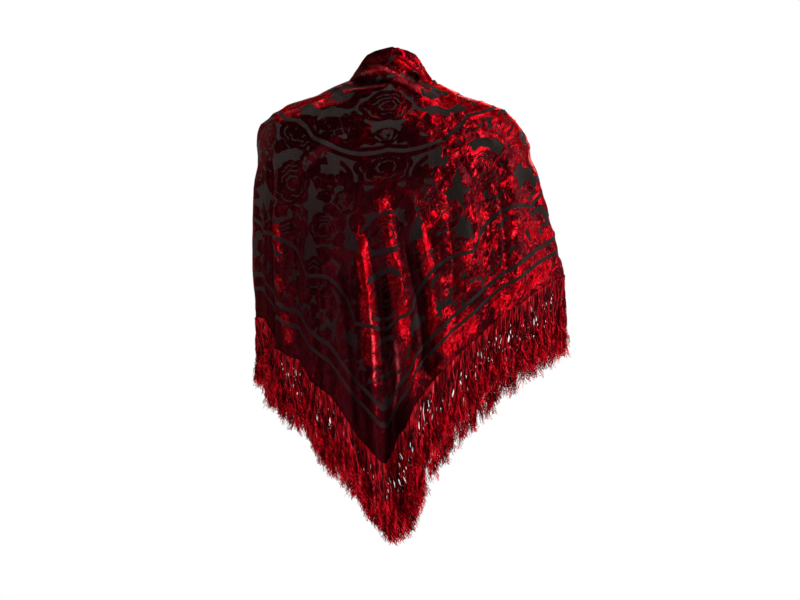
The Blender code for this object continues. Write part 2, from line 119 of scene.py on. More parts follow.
# Folds behind: height of the fold, half width, fade at its start and end,
# and its line as across, height
FOLDS_BEHIND = (
    (0.011, 0.019, 0.06, 0.0, ((-0.059, -0.269), (-0.04, -0.362), (-0.033, -0.44), (-0.032, -0.546),
     (-0.026, -0.604), (-0.021, -0.68))),
    (-0.013, 0.018, 0.07, 0.11, ((-0.026, -0.29), (-0.017, -0.371), (-0.01, -0.47), (-0.004, -0.574))),
    (-0.025, 0.023, 0.13, 0.0, ((-0.006, -0.47), (0.003, -0.56), (0.008, -0.72))),
    (0.01, 0.016, 0.05, 0.06, ((-0.005, -0.196), (-0.003, -0.266), (0.009, -0.31), (0.019, -0.355),
     (0.028, -0.423))),
    (0.009, 0.016, 0.04, 0.05, ((0.045, -0.241), (0.058, -0.28), (0.066, -0.337))),
    (-0.015, 0.02, 0.07, 0.04, ((0.03, -0.231), (0.046, -0.335), (0.056, -0.412), (0.068, -0.47),
     (0.074, -0.52))),
    (0.01, 0.018, 0.05, 0.0, ((0.046, -0.415), (0.04, -0.5), (0.034, -0.6))),
    (0.01, 0.02, 0.06, 0.03, ((0.094, -0.38), (0.092, -0.44), (0.088, -0.5))),
    (-0.009, 0.018, 0.06, 0.0, ((-0.078, -0.27), (-0.07, -0.4), (-0.06, -0.52), (-0.05, -0.62))),
    (0.008, 0.024, 0.08, 0.0, ((-0.116, -0.15), (-0.106, -0.33), (-0.09, -0.48), (-0.078, -0.58))),
    (-0.008, 0.022, 0.08, 0.0, ((-0.156, -0.19), (-0.15, -0.33), (-0.134, -0.52))),
    (0.009, 0.02, 0.06, 0.0, ((-0.192, -0.14), (-0.198, -0.23), (-0.19, -0.34), (-0.172, -0.49))),
    (-0.009, 0.014, 0.06, 0.0, ((-0.213, -0.11), (-0.214, -0.26), (-0.212, -0.46))),
    (0.008, 0.026, 0.06, 0.06, ((0.108, -0.11), (0.126, -0.23), (0.132, -0.33), (0.128, -0.43))),
    (-0.007, 0.024, 0.06, 0.0, ((0.156, -0.12), (0.168, -0.25), (0.172, -0.43))),
    (0.008, 0.024, 0.06, 0.0, ((0.196, -0.09), (0.212, -0.22), (0.222, -0.4))),
    (0.007, 0.02, 0.04, 0.06, ((-0.07, -0.06), (-0.11, -0.09), (-0.16, -0.13), (-0.19, -0.19))),
    (-0.006, 0.018, 0.04, 0.06, ((0.04, -0.06), (0.09, -0.09), (0.14, -0.11))),
    (-0.006, 0.016, 0.03, 0.03, ((-0.085, 0.004), (-0.05, 0.008), (0.0, 0.012), (0.045, 0.01),
     (0.07, 0.0))),
    (0.005, 0.015, 0.03, 0.03, ((-0.091, -0.009), (-0.051, -0.005), (-0.016, -0.001), (0.01, 0.004))),
    (0.007, 0.017, 0.02, 0.04, ((-0.026, 0.04), (-0.009, 0.033), (0.024, 0.014), (0.054, -0.008),
     (0.082, -0.021), (0.103, -0.037))),
)

# Folds round the sides and in front: height, half width, fades,
# and the line as degrees from the middle of the back, height
FOLDS_ROUND = (
    (0.009, 0.026, 0.06, 0.0, ((-78, -0.12), (-80, -0.25), (-84, -0.42))),
    (-0.009, 0.024, 0.07, 0.0, ((-99, -0.11), (-97, -0.26), (-100, -0.44))),
    (0.012, 0.026, 0.06, 0.0, ((-117, -0.09), (-116, -0.26), (-120, -0.47))),
    (-0.012, 0.024, 0.07, 0.0, ((-131, -0.11), (-132, -0.3), (-136, -0.52))),
    (0.013, 0.022, 0.05, 0.0, ((-142, -0.06), (-144, -0.25), (-149, -0.58))),
    (-0.01, 0.018, 0.06, 0.0, ((-151, -0.11), (-155, -0.33), (-160, -0.62))),
    (0.01, 0.024, 0.06, 0.0, ((70, -0.11), (76, -0.22), (80, -0.36))),
    (-0.009, 0.022, 0.06, 0.0, ((90, -0.12), (94, -0.25), (97, -0.39))),
    (0.012, 0.026, 0.06, 0.0, ((106, -0.09), (110, -0.23), (114, -0.43))),
    (-0.011, 0.024, 0.06, 0.0, ((122, -0.11), (127, -0.28), (131, -0.48))),
    (0.012, 0.022, 0.05, 0.0, ((135, -0.07), (140, -0.27), (145, -0.56))),
    (-0.012, 0.02, 0.06, 0.0, ((147, -0.12), (152, -0.34), (156, -0.62))),
    (0.008, 0.016, 0.06, 0.0, ((160, -0.15), (163, -0.4), (165, -0.68))),
)

# Finer folds, in the same columns as the folds behind
FINE_FOLDS_BEHIND = (
    (0.0045, 0.015, 0.04, 0.04, ((-0.052, -0.24), (-0.045, -0.31), (-0.038, -0.38), (-0.034, -0.45))),
    (-0.003, 0.006, 0.02, 0.02, ((-0.052, -0.42), (-0.046, -0.5), (-0.042, -0.57))),
    (0.004, 0.008, 0.02, 0.03, ((0.004, -0.33), (0.012, -0.4), (0.02, -0.47))),
    (-0.004, 0.007, 0.02, 0.02, ((0.02, -0.25), (0.034, -0.32), (0.04, -0.37))),
    (0.004, 0.008, 0.02, 0.02, ((0.072, -0.26), (0.084, -0.33), (0.088, -0.38))),
    (-0.004, 0.008, 0.03, 0.03, ((0.096, -0.21), (0.11, -0.3), (0.112, -0.37))),
    (0.0035, 0.007, 0.02, 0.02, ((0.142, -0.18), (0.15, -0.26), (0.148, -0.34))),
    (-0.0035, 0.007, 0.02, 0.02, ((0.182, -0.16), (0.196, -0.24), (0.2, -0.33))),
    (0.004, 0.008, 0.02, 0.02, ((-0.2, -0.215), (-0.194, -0.28), (-0.198, -0.36))),
    (0.0035, 0.007, 0.02, 0.02, ((-0.182, -0.39), (-0.166, -0.43), (-0.16, -0.47))),
    (-0.0035, 0.007, 0.02, 0.02, ((-0.174, -0.25), (-0.17, -0.33), (-0.16, -0.42))),
    (0.003, 0.008, 0.02, 0.02, ((-0.128, -0.24), (-0.12, -0.33), (-0.112, -0.42))),
    (0.0085, 0.008, 0.02, 0.03, ((-0.062, 0.018), (-0.036, 0.031), (-0.012, 0.033), (0.012, 0.018),
     (0.04, 0.0), (0.062, -0.012))),
    (-0.0055, 0.009, 0.02, 0.07, ((-0.054, 0.044), (-0.024, 0.044), (0.004, 0.036), (0.03, 0.018),
     (0.052, 0.002))),
    (0.006, 0.01, 0.02, 0.03, ((-0.006, 0.056), (0.018, 0.044), (0.038, 0.028), (0.062, 0.008))),
    (-0.002, 0.008, 0.01, 0.03, ((0.024, 0.056), (0.046, 0.034), (0.066, 0.01))),
    (0.006, 0.03, 0.03, 0.03, ((-0.08, -0.004), (-0.13, -0.02), (-0.185, -0.042), (-0.215, -0.08))),
    (0.006, 0.03, 0.03, 0.03, ((0.085, -0.004), (0.13, -0.018), (0.19, -0.042), (0.23, -0.09))),
    (0.005, 0.034, 0.03, 0.05, ((-0.222, -0.05), (-0.236, -0.08), (-0.244, -0.12))),
    (0.005, 0.034, 0.03, 0.05, ((0.236, -0.06), (0.25, -0.09), (0.262, -0.13))),
    (0.0035, 0.007, 0.01, 0.02, ((0.076, -0.004), (0.096, -0.014), (0.124, -0.026))),
    (-0.0035, 0.007, 0.01, 0.02, ((-0.088, 0.0), (-0.11, -0.014), (-0.14, -0.026))),
    (0.004, 0.009, 0.02, 0.03, ((-0.1, -0.01), (-0.13, -0.03), (-0.17, -0.05))),
    (0.0035, 0.01, 0.02, 0.03, ((0.11, -0.05), (0.15, -0.07), (0.19, -0.11))),
    (-0.003, 0.009, 0.02, 0.03, ((0.07, -0.07), (0.11, -0.11), (0.14, -0.17))),
)

# Short wrinkles that scallop the right side: degrees round, height, reach
SCALLOPS = (
    (84, -0.15, 0.03), (88, -0.176, 0.026), (85, -0.203, 0.034), (90, -0.229, 0.03),
    (86, -0.254, 0.036), (91, -0.281, 0.028),
)
SCALLOP_LIFT = 0.0034
SCALLOP_HALF = 0.009

# Waves of the loose front edges: size and how close together, and the share and width they
# start with
EDGE_WAVES = ((0.0055, 15.0), (0.0030, 37.0))
EDGE_PHASE = 1.3
LOOSE_EDGE = (0.86, 0.14)

# Crinkles of the crushed pile: size of a crinkle, lift, and seed; they calm down on the left
CRINKLES = ((0.060, 0.0022, 3), (0.028, 0.0012, 5), (0.013, 0.0006, 9))
CRINKLE_SINK = 0.0012
CRINKLE_CALM = 0.25
CRINKLE_CALM_REACH = 0.12
NOISE_CELLS = 256
NOISE_MOVE = 3.0

# Sharp creases between the crinkles, bent by a lift, cell and seed of their own
CREASE_BEND = (0.010, 0.045, 31)
CREASE_MOVE = 5.0
CREASE_SEED = 17
CREASE_CELL = 0.024
CREASE_LIFT = 0.0016
CREASE_WIDTH = 0.16
CREASE_STRETCH = 2.1
CREASE_TURN = 0.75

# Painted light on the pile, from painted shade below nought to painted sheen above it: on the left and
# on the right
PAINTED_LIGHT_LEFT = -1.05
PAINTED_LIGHT_RIGHT = -0.05
PAINTED_LIGHT_CHANGE = 0.07
PAINTED_LIGHT_LIMIT = 1.2

# Lanes along folds and bends that are painted lit or shaded, painted highlights on crests and flanks
# and painted shade in valleys:
# change of the painted light, half width, fades, and the line as across and height
LANE_SPREAD = 1.4
LANE_CORE = 1.5
PAINTED_LIGHT_LANES = (
    (2.3, 0.018, 0.06, 0.01, ((-0.055, -0.24), (-0.047, -0.3), (-0.04, -0.36), (-0.033, -0.43),
     (-0.028, -0.49))),
    (1.9, 0.011, 0.01, 0.03, ((-0.027, -0.49), (-0.024, -0.54), (-0.02, -0.59))),
    (1.0, 0.014, 0.03, 0.03, ((-0.014, -0.18), (-0.011, -0.25), (-0.002, -0.3), (0.006, -0.35),
     (0.016, -0.4), (0.026, -0.44))),
    (1.1, 0.012, 0.02, 0.02, ((0.043, -0.222), (0.05, -0.262), (0.058, -0.3), (0.062, -0.335))),
    (1.0, 0.011, 0.02, 0.02, ((0.06, -0.345), (0.068, -0.39), (0.07, -0.436))),
    (-1.9, 0.017, 0.04, 0.04, ((-0.029, -0.24), (-0.024, -0.32), (-0.015, -0.4), (-0.008, -0.48),
     (-0.002, -0.56), (0.004, -0.68))),
    (-1.6, 0.016, 0.03, 0.03, ((0.018, -0.18), (0.026, -0.24), (0.034, -0.3), (0.046, -0.37),
     (0.052, -0.44), (0.05, -0.5))),
    (-0.6, 0.011, 0.02, 0.02, ((0.077, -0.225), (0.084, -0.29), (0.084, -0.336))),
    (0.55, 0.024, 0.02, 0.0, ((0.084, -0.462), (0.137, -0.406), (0.206, -0.352), (0.268, -0.312))),
    (-1.0, 0.02, 0.02, 0.02, ((0.14, -0.35), (0.158, -0.39), (0.172, -0.425))),
    (1.3, 0.013, 0.02, 0.02, ((0.042, -0.452), (0.036, -0.5), (0.03, -0.55))),
    (0.9, 0.034, 0.02, 0.05, ((0.04, 0.005), (0.119, -0.014), (0.206, -0.04), (0.238, -0.091),
     (0.259, -0.178), (0.273, -0.24))),
    (0.15, 0.045, 0.04, 0.04, ((0.07, -0.04), (0.13, -0.07), (0.19, -0.105))),
    (-0.9, 0.045, 0.05, 0.05, ((0.004, -0.06), (0.03, -0.13), (0.05, -0.19))),
    (1.9, 0.012, 0.01, 0.02, ((-0.203, -0.22), (-0.198, -0.27), (-0.194, -0.312))),
    (1.6, 0.01, 0.01, 0.01, ((-0.198, -0.326), (-0.186, -0.36))),
    (1.8, 0.011, 0.01, 0.01, ((-0.188, -0.39), (-0.172, -0.45))),
    (2.6, 0.016, 0.02, 0.04, ((-0.205, -0.05), (-0.144, -0.028), (-0.1, -0.016), (-0.062, -0.004))),
    (-1.6, 0.01, 0.01, 0.04, ((-0.11, 0.0), (-0.066, 0.01), (-0.03, 0.011), (-0.002, 0.007))),
    (0.9, 0.006, 0.01, 0.01, ((-0.06, 0.02), (-0.035, 0.03), (-0.012, 0.033), (0.012, 0.018),
     (0.04, 0.0), (0.062, -0.012))),
    (1.0, 0.007, 0.01, 0.01, ((0.0, 0.053), (0.018, 0.043), (0.034, 0.033))),
    (1.2, 0.011, 0.01, 0.0, ((0.054, 0.032), (0.067, 0.014), (0.08, 0.002))),
    (1.1, 0.012, 0.02, 0.02, ((0.054, -0.01), (0.075, -0.024), (0.102, -0.042))),
    (-0.7, 0.01, 0.01, 0.02, ((0.036, 0.017), (0.06, 0.006), (0.088, -0.008))),
    (-1.4, 0.06, 0.05, 0.0, ((0.0, -0.48), (0.0, -0.7))),
    (0.3, 0.034, 0.02, 0.02, ((-0.05, 0.035), (-0.02, 0.04), (0.01, 0.03), (0.03, 0.02))),
)

# Pale painted highlights along ridges of the cloth: half width, and the line as across and height
RIDGE_FADE = 0.012
RIDGE_CORE = 1.5
RIDGES = (
    (0.0028, ((-0.047, 0.038), (-0.026, 0.039), (-0.01, 0.032), (0.011, 0.016), (0.029, 0.007),
     (0.052, -0.009))),
    (0.0024, ((-0.062, 0.022), (-0.044, 0.027), (-0.024, 0.03))),
    (0.0024, ((-0.112, -0.01), (-0.078, -0.005), (-0.04, 0.001), (-0.002, 0.006))),
    (0.0022, ((-0.19, -0.046), (-0.15, -0.034), (-0.112, -0.022))),
    (0.0022, ((-0.236, -0.18), (-0.234, -0.28), (-0.232, -0.4))),
    (0.0022, ((-0.04, -0.38), (-0.032, -0.45), (-0.028, -0.52))),
    (0.0022, ((0.006, -0.44), (0.012, -0.5), (0.004, -0.56))),
)

# The pattern's heights above the pile's edge are cut off at this limit, and some of its values
# change from the left side to the right
FIELD_LIMIT = 0.010
PATTERN_SIDES = (-0.10, 0.10)

# Border of the pattern: chiffon lines by distance from the hem
BORDER_LINES = ((0.0500, 0.0034), (0.0735, 0.0040))
FIELD_START = 0.078

# Scalloped frame lines in the field: distance from the hem or the neck, and rise
HEM_SCALLOP = (0.150, 0.026)
HEM_SCALLOP_LENGTH = 0.155
NECK_SCALLOP = (0.185, 0.022)
NECK_SCALLOP_LOBES = 7.0
LINE_HALF = 0.0037
LINE_BAND = 0.008

# Roses: across, down from the folded edge, radius, petals, turn
ROSES = (
    (0.0, 0.112, 0.031, 6, 0.0), (0.0, 0.172, 0.014, 5, 0.2), (0.0, 0.232, 0.038, 8, 0.3),
    (0.0, 0.352, 0.03, 6, 0.5), (0.0, 0.468, 0.037, 8, 0.0), (0.0, 0.58, 0.028, 6, 0.0),
    (0.15, 0.072, 0.025, 5, 0.4), (0.116, 0.166, 0.031, 7, 0.9), (0.188, 0.16, 0.03, 7, 0.1),
    (0.152, 0.246, 0.039, 8, 0.2), (0.108, 0.33, 0.027, 6, 0.7), (0.196, 0.322, 0.027, 6, 0.2),
    (0.15, 0.402, 0.033, 7, 0.5), (0.072, 0.42, 0.024, 5, 0.0), (0.3, 0.062, 0.034, 8, 0.3),
    (0.352, 0.15, 0.03, 6, 0.6), (0.272, 0.154, 0.028, 7, 0.0), (0.312, 0.238, 0.036, 8, 0.8),
    (0.25, 0.3, 0.025, 6, 0.1), (0.44, 0.056, 0.032, 7, 0.4), (0.474, 0.136, 0.032, 8, 0.0),
    (0.404, 0.212, 0.028, 6, 0.9), (0.572, 0.052, 0.031, 7, 0.2), (0.056, 0.055, 0.022, 5, 0.9),
    (0.22, 0.052, 0.022, 5, 0.2), (0.64, 0.03, 0.02, 5, 0.0), (0.372, 0.052, 0.02, 5, 0.6),
    (0.062, 0.292, 0.02, 5, 0.0),
)
ROSE_SWELL = 0.15
ROSE_REACH = 1.2

# Arcs that part the petals: share of the edge, arcs round, and how much of each is left open
ROSE_RINGS = ((0.30, 1, -0.5), (0.56, 2, -0.3), (0.80, 3, -0.2))
ROSE_GAP = 0.0013
RING_TURN = 2.1
ROSE_TURN = 3.0

# Small flowers
BUD_SWELL = 0.16
BUD_GAP = 0.0009
BUD_OPEN = -0.4

# Motifs swell by this much, and those that overlap are parted by thin lines on the left
MOTIF_SWELL = (0.0024, 0.0028)
PARTING = (0.0011, -0.0020)

# Row of leaves along the folded edge
EDGE_LEAF_START = 0.024
EDGE_LEAF_PITCH = 0.050
EDGE_LEAF_DOWN = (0.012, 0.016)
EDGE_LEAF_SIZE = (0.027, 0.016)
EDGE_LEAF_DEGREES = (16, -16)

# Leaves: across, down, half length, half width, degrees
LEAVES = (
    (0.046, 0.15, 0.027, 0.011, 60), (0.05, 0.196, 0.026, 0.011, -50), (0.048, 0.272, 0.024, 0.01, 40),
    (0.04, 0.396, 0.026, 0.011, 70), (0.044, 0.52, 0.026, 0.011, 55), (0.152, 0.118, 0.024, 0.009, 90),
    (0.104, 0.216, 0.026, 0.01, 30), (0.204, 0.214, 0.026, 0.01, -30), (0.092, 0.262, 0.024, 0.01, -60),
    (0.214, 0.268, 0.026, 0.01, 60), (0.15, 0.314, 0.028, 0.01, 90), (0.112, 0.376, 0.024, 0.01, -40),
    (0.196, 0.372, 0.024, 0.01, 40), (0.236, 0.104, 0.028, 0.011, 20), (0.31, 0.116, 0.026, 0.01, 80),
    (0.272, 0.206, 0.026, 0.01, -70), (0.352, 0.204, 0.026, 0.01, 30),
    (0.396, 0.108, 0.028, 0.011, -30), (0.442, 0.104, 0.022, 0.009, 70), (0.43, 0.166, 0.024, 0.01, 20),
    (0.52, 0.092, 0.028, 0.011, -35), (0.506, 0.044, 0.022, 0.01, 15),
    (0.092, 0.104, 0.028, 0.011, -25), (0.254, 0.056, 0.02, 0.008, 80), (0.01, 0.64, 0.018, 0.008, 90),
    (0.1, 0.478, 0.024, 0.01, 50), (0.03, 0.03, 0.02, 0.012, 20), (0.024, 0.408, 0.025, 0.013, 35),
    (0.022, 0.528, 0.022, 0.012, -30), (0.014, 0.292, 0.018, 0.014, 80),
    (0.022, 0.628, 0.02, 0.012, 60), (0.03, 0.17, 0.022, 0.012, 65), (0.018, 0.066, 0.02, 0.012, 20),
)
LEAF_REACH = 1.1

# Scrolling stems: middle across, middle down, radius, first and last degrees
STEMS = (
    (0.078, 0.18, 0.04, -80, 120), (0.078, 0.25, 0.034, 150, 330), (0.224, 0.19, 0.034, 60, 250),
    (0.236, 0.33, 0.04, -60, 130), (0.078, 0.35, 0.036, 40, 230), (0.27, 0.1, 0.036, 100, 290),
    (0.392, 0.16, 0.034, -90, 100), (0.36, 0.264, 0.034, 60, 240), (0.486, 0.08, 0.036, 150, 320),
    (0.04, 0.46, 0.036, -40, 120), (0.118, 0.44, 0.03, 200, 380), (0.54, 0.04, 0.03, 20, 200),
)
STEM_HALF = 0.0042
STEM_REACH = 1.3

# Bare patches of the ground: across, down, half length, half width, degrees
BARE = (
    (0.07, 0.215, 0.021, 0.01, 75), (0.238, 0.238, 0.026, 0.012, 70), (0.066, 0.128, 0.02, 0.01, 20),
    (0.152, 0.198, 0.016, 0.009, 0), (0.15, 0.352, 0.018, 0.01, 90), (0.236, 0.15, 0.017, 0.01, 60),
    (0.054, 0.36, 0.022, 0.011, -60), (0.112, 0.29, 0.013, 0.009, 30), (0.31, 0.19, 0.018, 0.01, 80),
    (0.392, 0.25, 0.022, 0.01, -40), (0.34, 0.096, 0.018, 0.009, 20), (0.2, 0.096, 0.022, 0.011, -20),
    (0.428, 0.132, 0.015, 0.01, 80), (0.082, 0.04, 0.02, 0.01, 10), (0.268, 0.03, 0.018, 0.009, 30),
    (0.408, 0.03, 0.02, 0.009, -10), (0.536, 0.11, 0.018, 0.008, -45), (0.08, 0.52, 0.016, 0.008, 45),
)
BARE_REACH = 1.3

# Small flowers and leaves that fill the field between the roses
FILLER_CELL = 0.0285
FILLER_START = 0.004
FILLER_RADIUS = (0.0120, 0.0165)
FILLER_LEAF = (1.35, 0.78)
FILLER_REACH = (1.4, 1.3)
FILLER_GAPS = (0.3, 0.5)
FILLER_JITTER = 0.26
ROW_START = 0.4
ROW_PITCH = 0.866
FILLER_SEED = 11

# Strands of the fringe
HEM_SHARES = 4001
HEM_END_GAP = 0.002
STRAND_PITCH = 0.0027
TIP_CROWD = 1.3
TIP_REACH = 0.17
LENGTH_SPREAD = 0.05
STRAND_RADIUS = 0.00130
STRAND_STEPS = 24
ROOT_TAPER = (0.05, 0.10)
STRAND_TAPER = (1.30, 1.15, 0.90, 1.0, 0.35)
TWIST_SWELL = 0.10
TWIST_TURNS = 9.0
ROOT_LIFT = 0.0004
ROOT_RISE = 0.0015
LAYER_DEPTH = 0.0055
LAYER_START = 6.0
SWAY = 0.0062
SWAY_DEPTHWISE = 0.003
SWAY_WAVES = 5.8
SWAY_PHASE = 0.7
DRIFT_POWER = 1.2
DRIFT_SPREAD = 0.004
WIGGLE = 0.0021
WIGGLE_RANGE = (0.5, 1.6)
WIGGLE_START = 4.0
WIGGLE_WAVES = 2.6
WAVE_TURN = 1.3
WAVE_SPREAD = 0.3
PHASE_TURN = 1.7
PHASE_SPREAD = 0.8

# Bundles of strands: width as a share of the hem, and how far each strand is pulled into one
CLUMP_SHARE = 0.0092
CLUMP_PULL = ((0.00, 0.12), (0.10, 0.36), (0.30, 0.40), (0.42, 0.32), (1.00, 0.32))
CLUMP_START = 1.6
CLUMP_POWER = 1.5
CLUMP_WAVE = 0.0028
CLUMP_WAVE_TURN = 6.0
CLUMP_WAVE_STEP = 2.4

# Loose threads from where a strand's twist opens
FRAY_FROM = (0.40, 0.60)
FRAY_REACH = 0.20
FRIZZ_THREADS = 18
FRIZZ_START = (-0.10, 0.24)
FRIZZ_LENGTH = 0.044
FRIZZ_LENGTH_RANGE = (0.7, 1.25)
FRIZZ_STEPS = 14
FRIZZ_RADIUS = 0.00048
FRIZZ_SPREAD = 0.0058
FRIZZ_SPREAD_RANGE = (0.2, 1.3)
FRIZZ_SPREAD_POWER = 0.8
FRIZZ_DEPTHWISE = 0.7
FRIZZ_CURL = 0.0018
FRIZZ_CURL_RANGE = (0.3, 1.6)
FRIZZ_CURL_START = 2.0
FRIZZ_TURNS = (1.5, 4.0)
FRIZZ_PHASE = 6.0
FRIZZ_TAPER = (1.2, 0.8)
RIBBON_TWIST = 5.0
RIBBON_TURNS = 1e4
FRINGE_SEED = 23

# How long the strands hang and how far they have swung to the right, by share round the hem
STRAND_FALL = (
    (-1.0, 0.134, 0.0), (-0.68, 0.134, 0.0), (-0.56, 0.116, 0.004), (-0.47, 0.104, 0.009),
    (-0.38, 0.124, 0.015), (-0.26, 0.142, 0.021), (-0.12, 0.144, 0.026), (0.0, 0.132, 0.029),
    (0.04, 0.132, 0.018), (0.08, 0.132, 0.008), (0.16, 0.118, -0.002), (0.26, 0.112, 0.0),
    (0.36, 0.118, 0.001), (0.48, 0.134, 0.004), (0.56, 0.144, 0.0), (0.7, 0.136, 0.0),
    (1.0, 0.134, 0.0),
)

# Runs of fringe: the solid that each stands for, first and last share
FRINGE_RUNS = (
    ("fringe_left_front", -1.00, -0.76),
    ("fringe_left_side", -0.76, -0.50),
    ("fringe_left_shoulder", -0.50, -0.25),
    ("fringe_left_back", -0.25, 0.00),
    ("fringe_right_back", 0.00, 0.25),
    ("fringe_right_shoulder", 0.25, 0.50),
    ("fringe_right_side", 0.50, 0.76),
    ("fringe_right_front", 0.76, 1.00),
)

# Colours, linear
WHITE = (1.0, 1.0, 1.0, 1.0)
PILE_DEEP = (0.017, 0.0008, 0.0020, 1.0)
PILE_MIDDLE = (0.036, 0.0005, 0.0018, 1.0)
# Painted sheen of the crushed pile where it catches the light
PILE_SHEEN = (0.146, 0.0003, 0.0020, 1.0)
# Painted highlight on the crinkles and along the ridges
PAINTED_HIGHLIGHT = (0.38, 0.036, 0.048, 1.0)
CHIFFON_UPPER = (0.025, 0.0215, 0.0200, 1.0)
CHIFFON_LOWER = (0.010, 0.0055, 0.0065, 1.0)
CHIFFON_RIGHT = (0.0085, 0.0088, 0.0082, 1.0)
STRAND_COLOURS = ((0.022, 0.0001, 0.0008, 1.0), (0.255, 0.0008, 0.0048, 1.0),
                  (0.420, 0.0400, 0.0520, 1.0))
FRAYED_COLOURS = ((0.055, 0.0002, 0.0012, 1.0), (0.465, 0.0010, 0.0078, 1.0),
                  (0.560, 0.0500, 0.0650, 1.0))
SHEEN_RED = (1.0, 0.05, 0.08, 1.0)
SHEEN_WEIGHT = 0.03

# Noises of the velvet: scale, detail, roughness and distortion
WOBBLE_NOISE = (420.0, 2.0)
BROAD_NOISE = (26.0, 3.0, 0.6, 0.6)
CRUSH_NOISE = (98.0, 5.0, 0.68, 1.4)
FINE_NOISE = (800.0, 2.0, 0.6)
CRINKLE_NOISE = (105.0, 2.5, 0.5, 1.6)
STREAK_SCALE = (1.0, 0.55, 1.0)
WOBBLE_SIZE = 0.0008
BROAD_SHARE = 0.35
# Share of the painted light in the crushed pile's random tone
PAINTED_LIGHT_SHARE = 0.12

# Ranges of the velvet: from low, from high, to low and to high, 0 to 1 where not given
PILE_EDGE = (-0.0006, 0.0006)
# Painted sheen on the crushed pile, held down where the pile is painted in shade
CRUSH_SHEEN_RANGE = (0.472, 0.572)
SHADE_SIDE_RANGE = (-1.15, -0.55, 0.18, 1.0)
DEEP_RANGE = (0.36, 0.50)
CRINKLE_RANGE = (0.0, 0.018, 0.34, 0.0)
# Painted crinkle highlights fade out where the pile is painted in shade
CRINKLE_LIGHT_RANGE = (-0.7, 0.0)
# Painted highlights along the ridges
RIDGE_HIGHLIGHT_RANGE = (0.35, 0.60, 0.10, 0.60)
CHIFFON_DOWN = (0.12, 0.36)
CHIFFON_ACROSS = (0.98, 1.12)
METAL_RANGE = (0.0, 1.0, 0.82, 1.0)
PILE_ROUGHNESS = (0.2, 0.8, 0.38, 0.52)
CHIFFON_ROUGHNESS = (0.0, 1.0, 0.45, 0.0)
CRUSH_RANGE = (0.0, 1.0, 0.20, 0.92)

# How the pile leans: open and shut as vectors, then scale, strength, detail and distortion
LIES_OPEN = (0.42, -0.08, 0.16)
LIES_SHUT = (-0.30, 0.00, -0.12)
BROAD_LEAN = (22.0, 0.45, 2.0, 0.5)
FINE_LEANS = ((75.0, 1.35, 3.0, 1.3), (260.0, 1.1, 3.0, 0.8))
PILE_RELIEF = 0.0007
FINE_RELIEF = 0.00025
CRUSH_RELIEF = 0.0020

# Silk of the fringe
DRAWN_OUT = (1.0, 1.0, 0.16)
SILK_NOISE = (210.0, 2.0)
SILK_BRIGHT_RANGE = (0.42, 0.58)
SILK_PALE_RANGE = (0.66, 0.70)
TWIST_SCALE = 260.0
TWIST_DEPTH = 0.0006

# Camera, floor and lights
CAMERA_DISTANCE = 7.0
SHARP_DEPTH = -0.05
PICTURE_WIDTH = 1.40
PICTURE_MIDDLE = (0.014, -0.371)
SENSOR_WIDTH = 36.0
FLOOR_HEIGHT = -1.45
FLOOR_SIZE = 4.5
FLOOR_COLOUR = (0.90, 0.90, 0.89, 1.0)
FLOOR_GLOW = 0.25
SURROUND_LIGHT = 0.10
CLOTH_MIDDLE = (0.0, 0.0, -0.30)

# Lights: name, place, target, size and power
LIGHTS = (
    ("key", (2.75, -1.00, 0.95), CLOTH_MIDDLE, 1.0, 235.0),
    ("left_rim", (-2.1, 1.3, 0.2), CLOTH_MIDDLE, 1.0, 5.0),
    ("top_fill", (-0.6, -0.5, 2.7), CLOTH_MIDDLE, 2.0, 33.0),
    ("high_back", (-1.0, 2.5, 1.9), (-0.1, 0.0, -0.05), 1.0, 16.0),
    ("low_fill", (-0.9, -0.9, -1.40), (-0.05, 0.0, -0.6), 1.4, 34.0),
    ("far_side", (1.2, 3.6, 1.0), CLOTH_MIDDLE, 1.8, 110.0),
)


def ring_sizes(height):
    """Reach to each side, behind and ahead, and squareness, at a height."""
    table = np.array(RINGS)[::-1]
    return [np.interp(height, table[:, 0], table[:, column]) for column in range(1, 6)]


def front_edge(height):
    """How far each front edge hangs from the middle of the front."""
    return np.interp(-height, FRONT_EDGE_DEPTHS, FRONT_EDGE_GAPS)


def half_ring(height, side):
    """One half ring from the middle of the back: angle, across, depth and length."""
    left, right, behind, ahead, squareness = ring_sizes(height)
    reach = right if side > 0 else left
    angle = np.linspace(0.0, np.pi, RING_STEPS)
    power = 2.0 / squareness
    across = reach * np.abs(np.sin(angle)) ** power
    depth = np.where(angle < np.pi / 2, -behind, ahead) * np.abs(np.cos(angle)) ** power
    length = np.concatenate(([0.0], np.cumsum(np.hypot(np.diff(across), np.diff(depth)))))
    return angle, across, depth, length


def ring_end(height, side):
    """Length of a half ring up to its front edge."""
    angle, across, depth, length = half_ring(height, side)
    ahead = angle > np.pi / 2
    return np.interp(-front_edge(height), -across[ahead], length[ahead])


def length_at_across(place, height, ahead=False):
    """Length round a ring to a place that is this far across."""
    side = 1 if place > 0 else -1
    angle, across, depth, length = half_ring(height, side)
    part = (angle > np.pi / 2) == ahead
    rising = -1 if ahead else 1
    return side * np.interp(rising * abs(place), rising * across[part], length[part])


def length_at_angle(degrees, height):
    """Length round a ring to a place at this angle."""
    side = 1 if degrees > 0 else -1
    angle, across, depth, length = half_ring(height, side)
    return side * np.interp(np.radians(abs(degrees)), angle, length)


def share(length, height):
    """A length round a ring as a share of its half."""
    return length / ring_end(height, 1 if length > 0 else -1)


def top_heights(shares):
    """Height of the top edge at each share."""
    places = [min(1.0, abs(share(length_at_angle(max(angle, 0.01), height), height)))
              for angle, height in TOP_EDGE]
    return np.interp(np.abs(shares), places, [row[1] for row in TOP_EDGE])


def hem_heights(shares):
    """Height of the hem at each share."""
    rows = [(share(length_at_across(across, height, ahead), height), height)
            for hem, ahead in ((HEM_AHEAD_LEFT + HEM_AHEAD_RIGHT, True), (HEM_BEHIND, False))
            for across, height in hem]
    rows.sort()
    return np.interp(shares, [row[0] for row in rows], [row[1] for row in rows])


